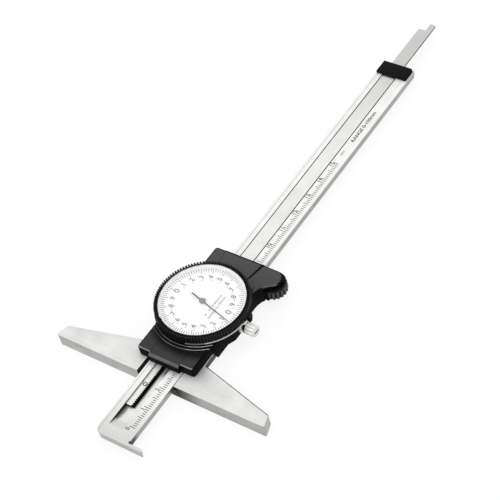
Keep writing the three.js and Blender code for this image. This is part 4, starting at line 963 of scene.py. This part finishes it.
# Pointer and its hub cap.
# A thin blade blanked from sheet and painted dark grey, pressed on the spindle under a turned
# aluminium cap.

# Satin paint makes the pointer an even dark grey.
grey_paint = speckled("satin_dark_grey_paint", "#404040", "#525252", 0.667, 0.5)
form = merged_copy("pointer")

# The blade's tail behind the hub is drawn narrower than its solid.
point_way = Vector((0.96, -0.28, 0))
tail_from, tail_share = -1.7, 0.6
for v in form.verts:
    behind = v.co.dot(point_way)
    if behind < tail_from * MM:
        on_line = point_way * behind
        aside = v.co - on_line - Vector((0, 0, v.co.z))
        v.co = Vector((on_line.x, on_line.y, v.co.z)) + aside * tail_share
break_edges(form, 0.03, 1)
place(form, "painted_pointer", "pointer", [grey_paint], ["pointer"])

# Turned aluminium shows fine rings from the tool and a soft grey shine. They are drawn 0.35 mm apart,
# and a wave of scale 1 repeats at every tenth of pi.
ring_gap = 0.349
cap_metal, tree, spot = new_material("turned_grey_aluminium")
rings = add(tree, "ShaderNodeTexWave", {"Vector": spot, "Distortion": 0.5,
                                        "Scale": math.pi / 10 * cells(ring_gap)},
            wave_type="RINGS", rings_direction="Z")
shade = add(tree, "ShaderNodeMix", {0: rings.outputs["Fac"], 6: colour("#7e7e7e"), 7: colour("#929292")},
            data_type="RGBA")
cap = add(tree, "ShaderNodeBsdfPrincipled", {"Base Color": shade.outputs[2], "Metallic": 0.7,
                                             "Roughness": 0.45})
add(tree, "ShaderNodeOutputMaterial", {"Surface": cap.outputs[0]})
cap_outline = [(0, 15.03), (1.25, 15.03), (1.25, 15.2), (1.2, 15.3), (1.08, 15.35), (0, 15.35)]
form = lathe(cap_outline, 48)
place(form, "hub_cap", "pointer", [cap_metal], ["pointer_hub"])

# Bezel clamp screw and its tongue.
# Turned brass, nickel-chrome plated. The head has a straight knurl and a slotted end, and stands on a
# black washer. The tongue is a plate with a small tab, which the screw presses on the bezel.

# Nickel-chrome plate is bright and faintly warm; its end face and wall are rubbed satin.
chrome = speckled("nickel_chrome_plate", "#e6e7e0", "#f4f5ee", 1.43, 0.3, 0.35)
washer_top, slot_floor, head_end = 20.1, 23.8, 24.6
slot_half_width, slot_half_length = 0.3, 1.2
screw_outline = [(0, 13.9), (0.95, 13.9), (0.95, 16.5), (1.3, 16.5), (1.3, washer_top), (2.15, washer_top),
                 (2.32, 20.3), (2.32, 24.35), (2.1, head_end), (0, head_end)]
form = lathe(screw_outline, 64)
form = carved(form, block(slot_half_width, slot_half_length, slot_floor, head_end + 0.4))


def clamp_rule(f):
    """The neck and the slot are painted dark as shade, the end face and the wall are satin."""
    middle = f.calc_center_median() / MM
    in_slot = abs(middle.x) < slot_half_width + 0.01 and slot_floor - 0.05 < middle.z < head_end - 0.01
    if in_slot and (abs(f.normal.x) > square or f.normal.z > square):
        return dark_edge
    if middle.z < washer_top - 0.05:
        return dark_edge
    return bar_face if f.normal.z > 0.5 or abs(f.normal.z) < 0.3 else chrome


finishes = paint(form, clamp_rule, [chrome])
washer_outline = [(1.25, 19.6), (2.25, 19.6), (2.3, 19.7), (2.3, 20.0), (2.25, 20.08), (1.25, 20.08)]
washer = lathe(washer_outline, 64)
finishes = paint(washer, lambda f: dark_edge, finishes)
form = joined(form, washer)
form = ribbed(form, {"Count": 10, "Ring": 2.05 * MM, "Radius": 0.5 * MM, "Height": 3.9 * MM,
                     "Middle": 22.35 * MM, "Sides": 12}, 0)

# The screw is turned upright and then laid along X at its height above the sheet.
screw_height = 9.0
lay = Matrix.Translation((0, 0, screw_height * MM)) @ Matrix.Rotation(math.pi / 2, 4, "Y")
bmesh.ops.transform(form, matrix=lay, verts=form.verts)
place(form, "knurled_clamp_screw", "clamp_screw", finishes, ["bezel_clamp_screw"])
tab_low, tab_high = 11.72, 12.42
tab = [(18.6, -0.8), (20.2, -0.8), (20.2, 1.1), (18.6, 1.1)]
form = joined(merged_copy("bezel_clamp_tongue"), slab(tab, tab_low, tab_high))
break_edges(form, 0.15, 2)
place(form, "clamp_tongue_plate", "clamp_tongue", [chrome], ["bezel_clamp_tongue"])
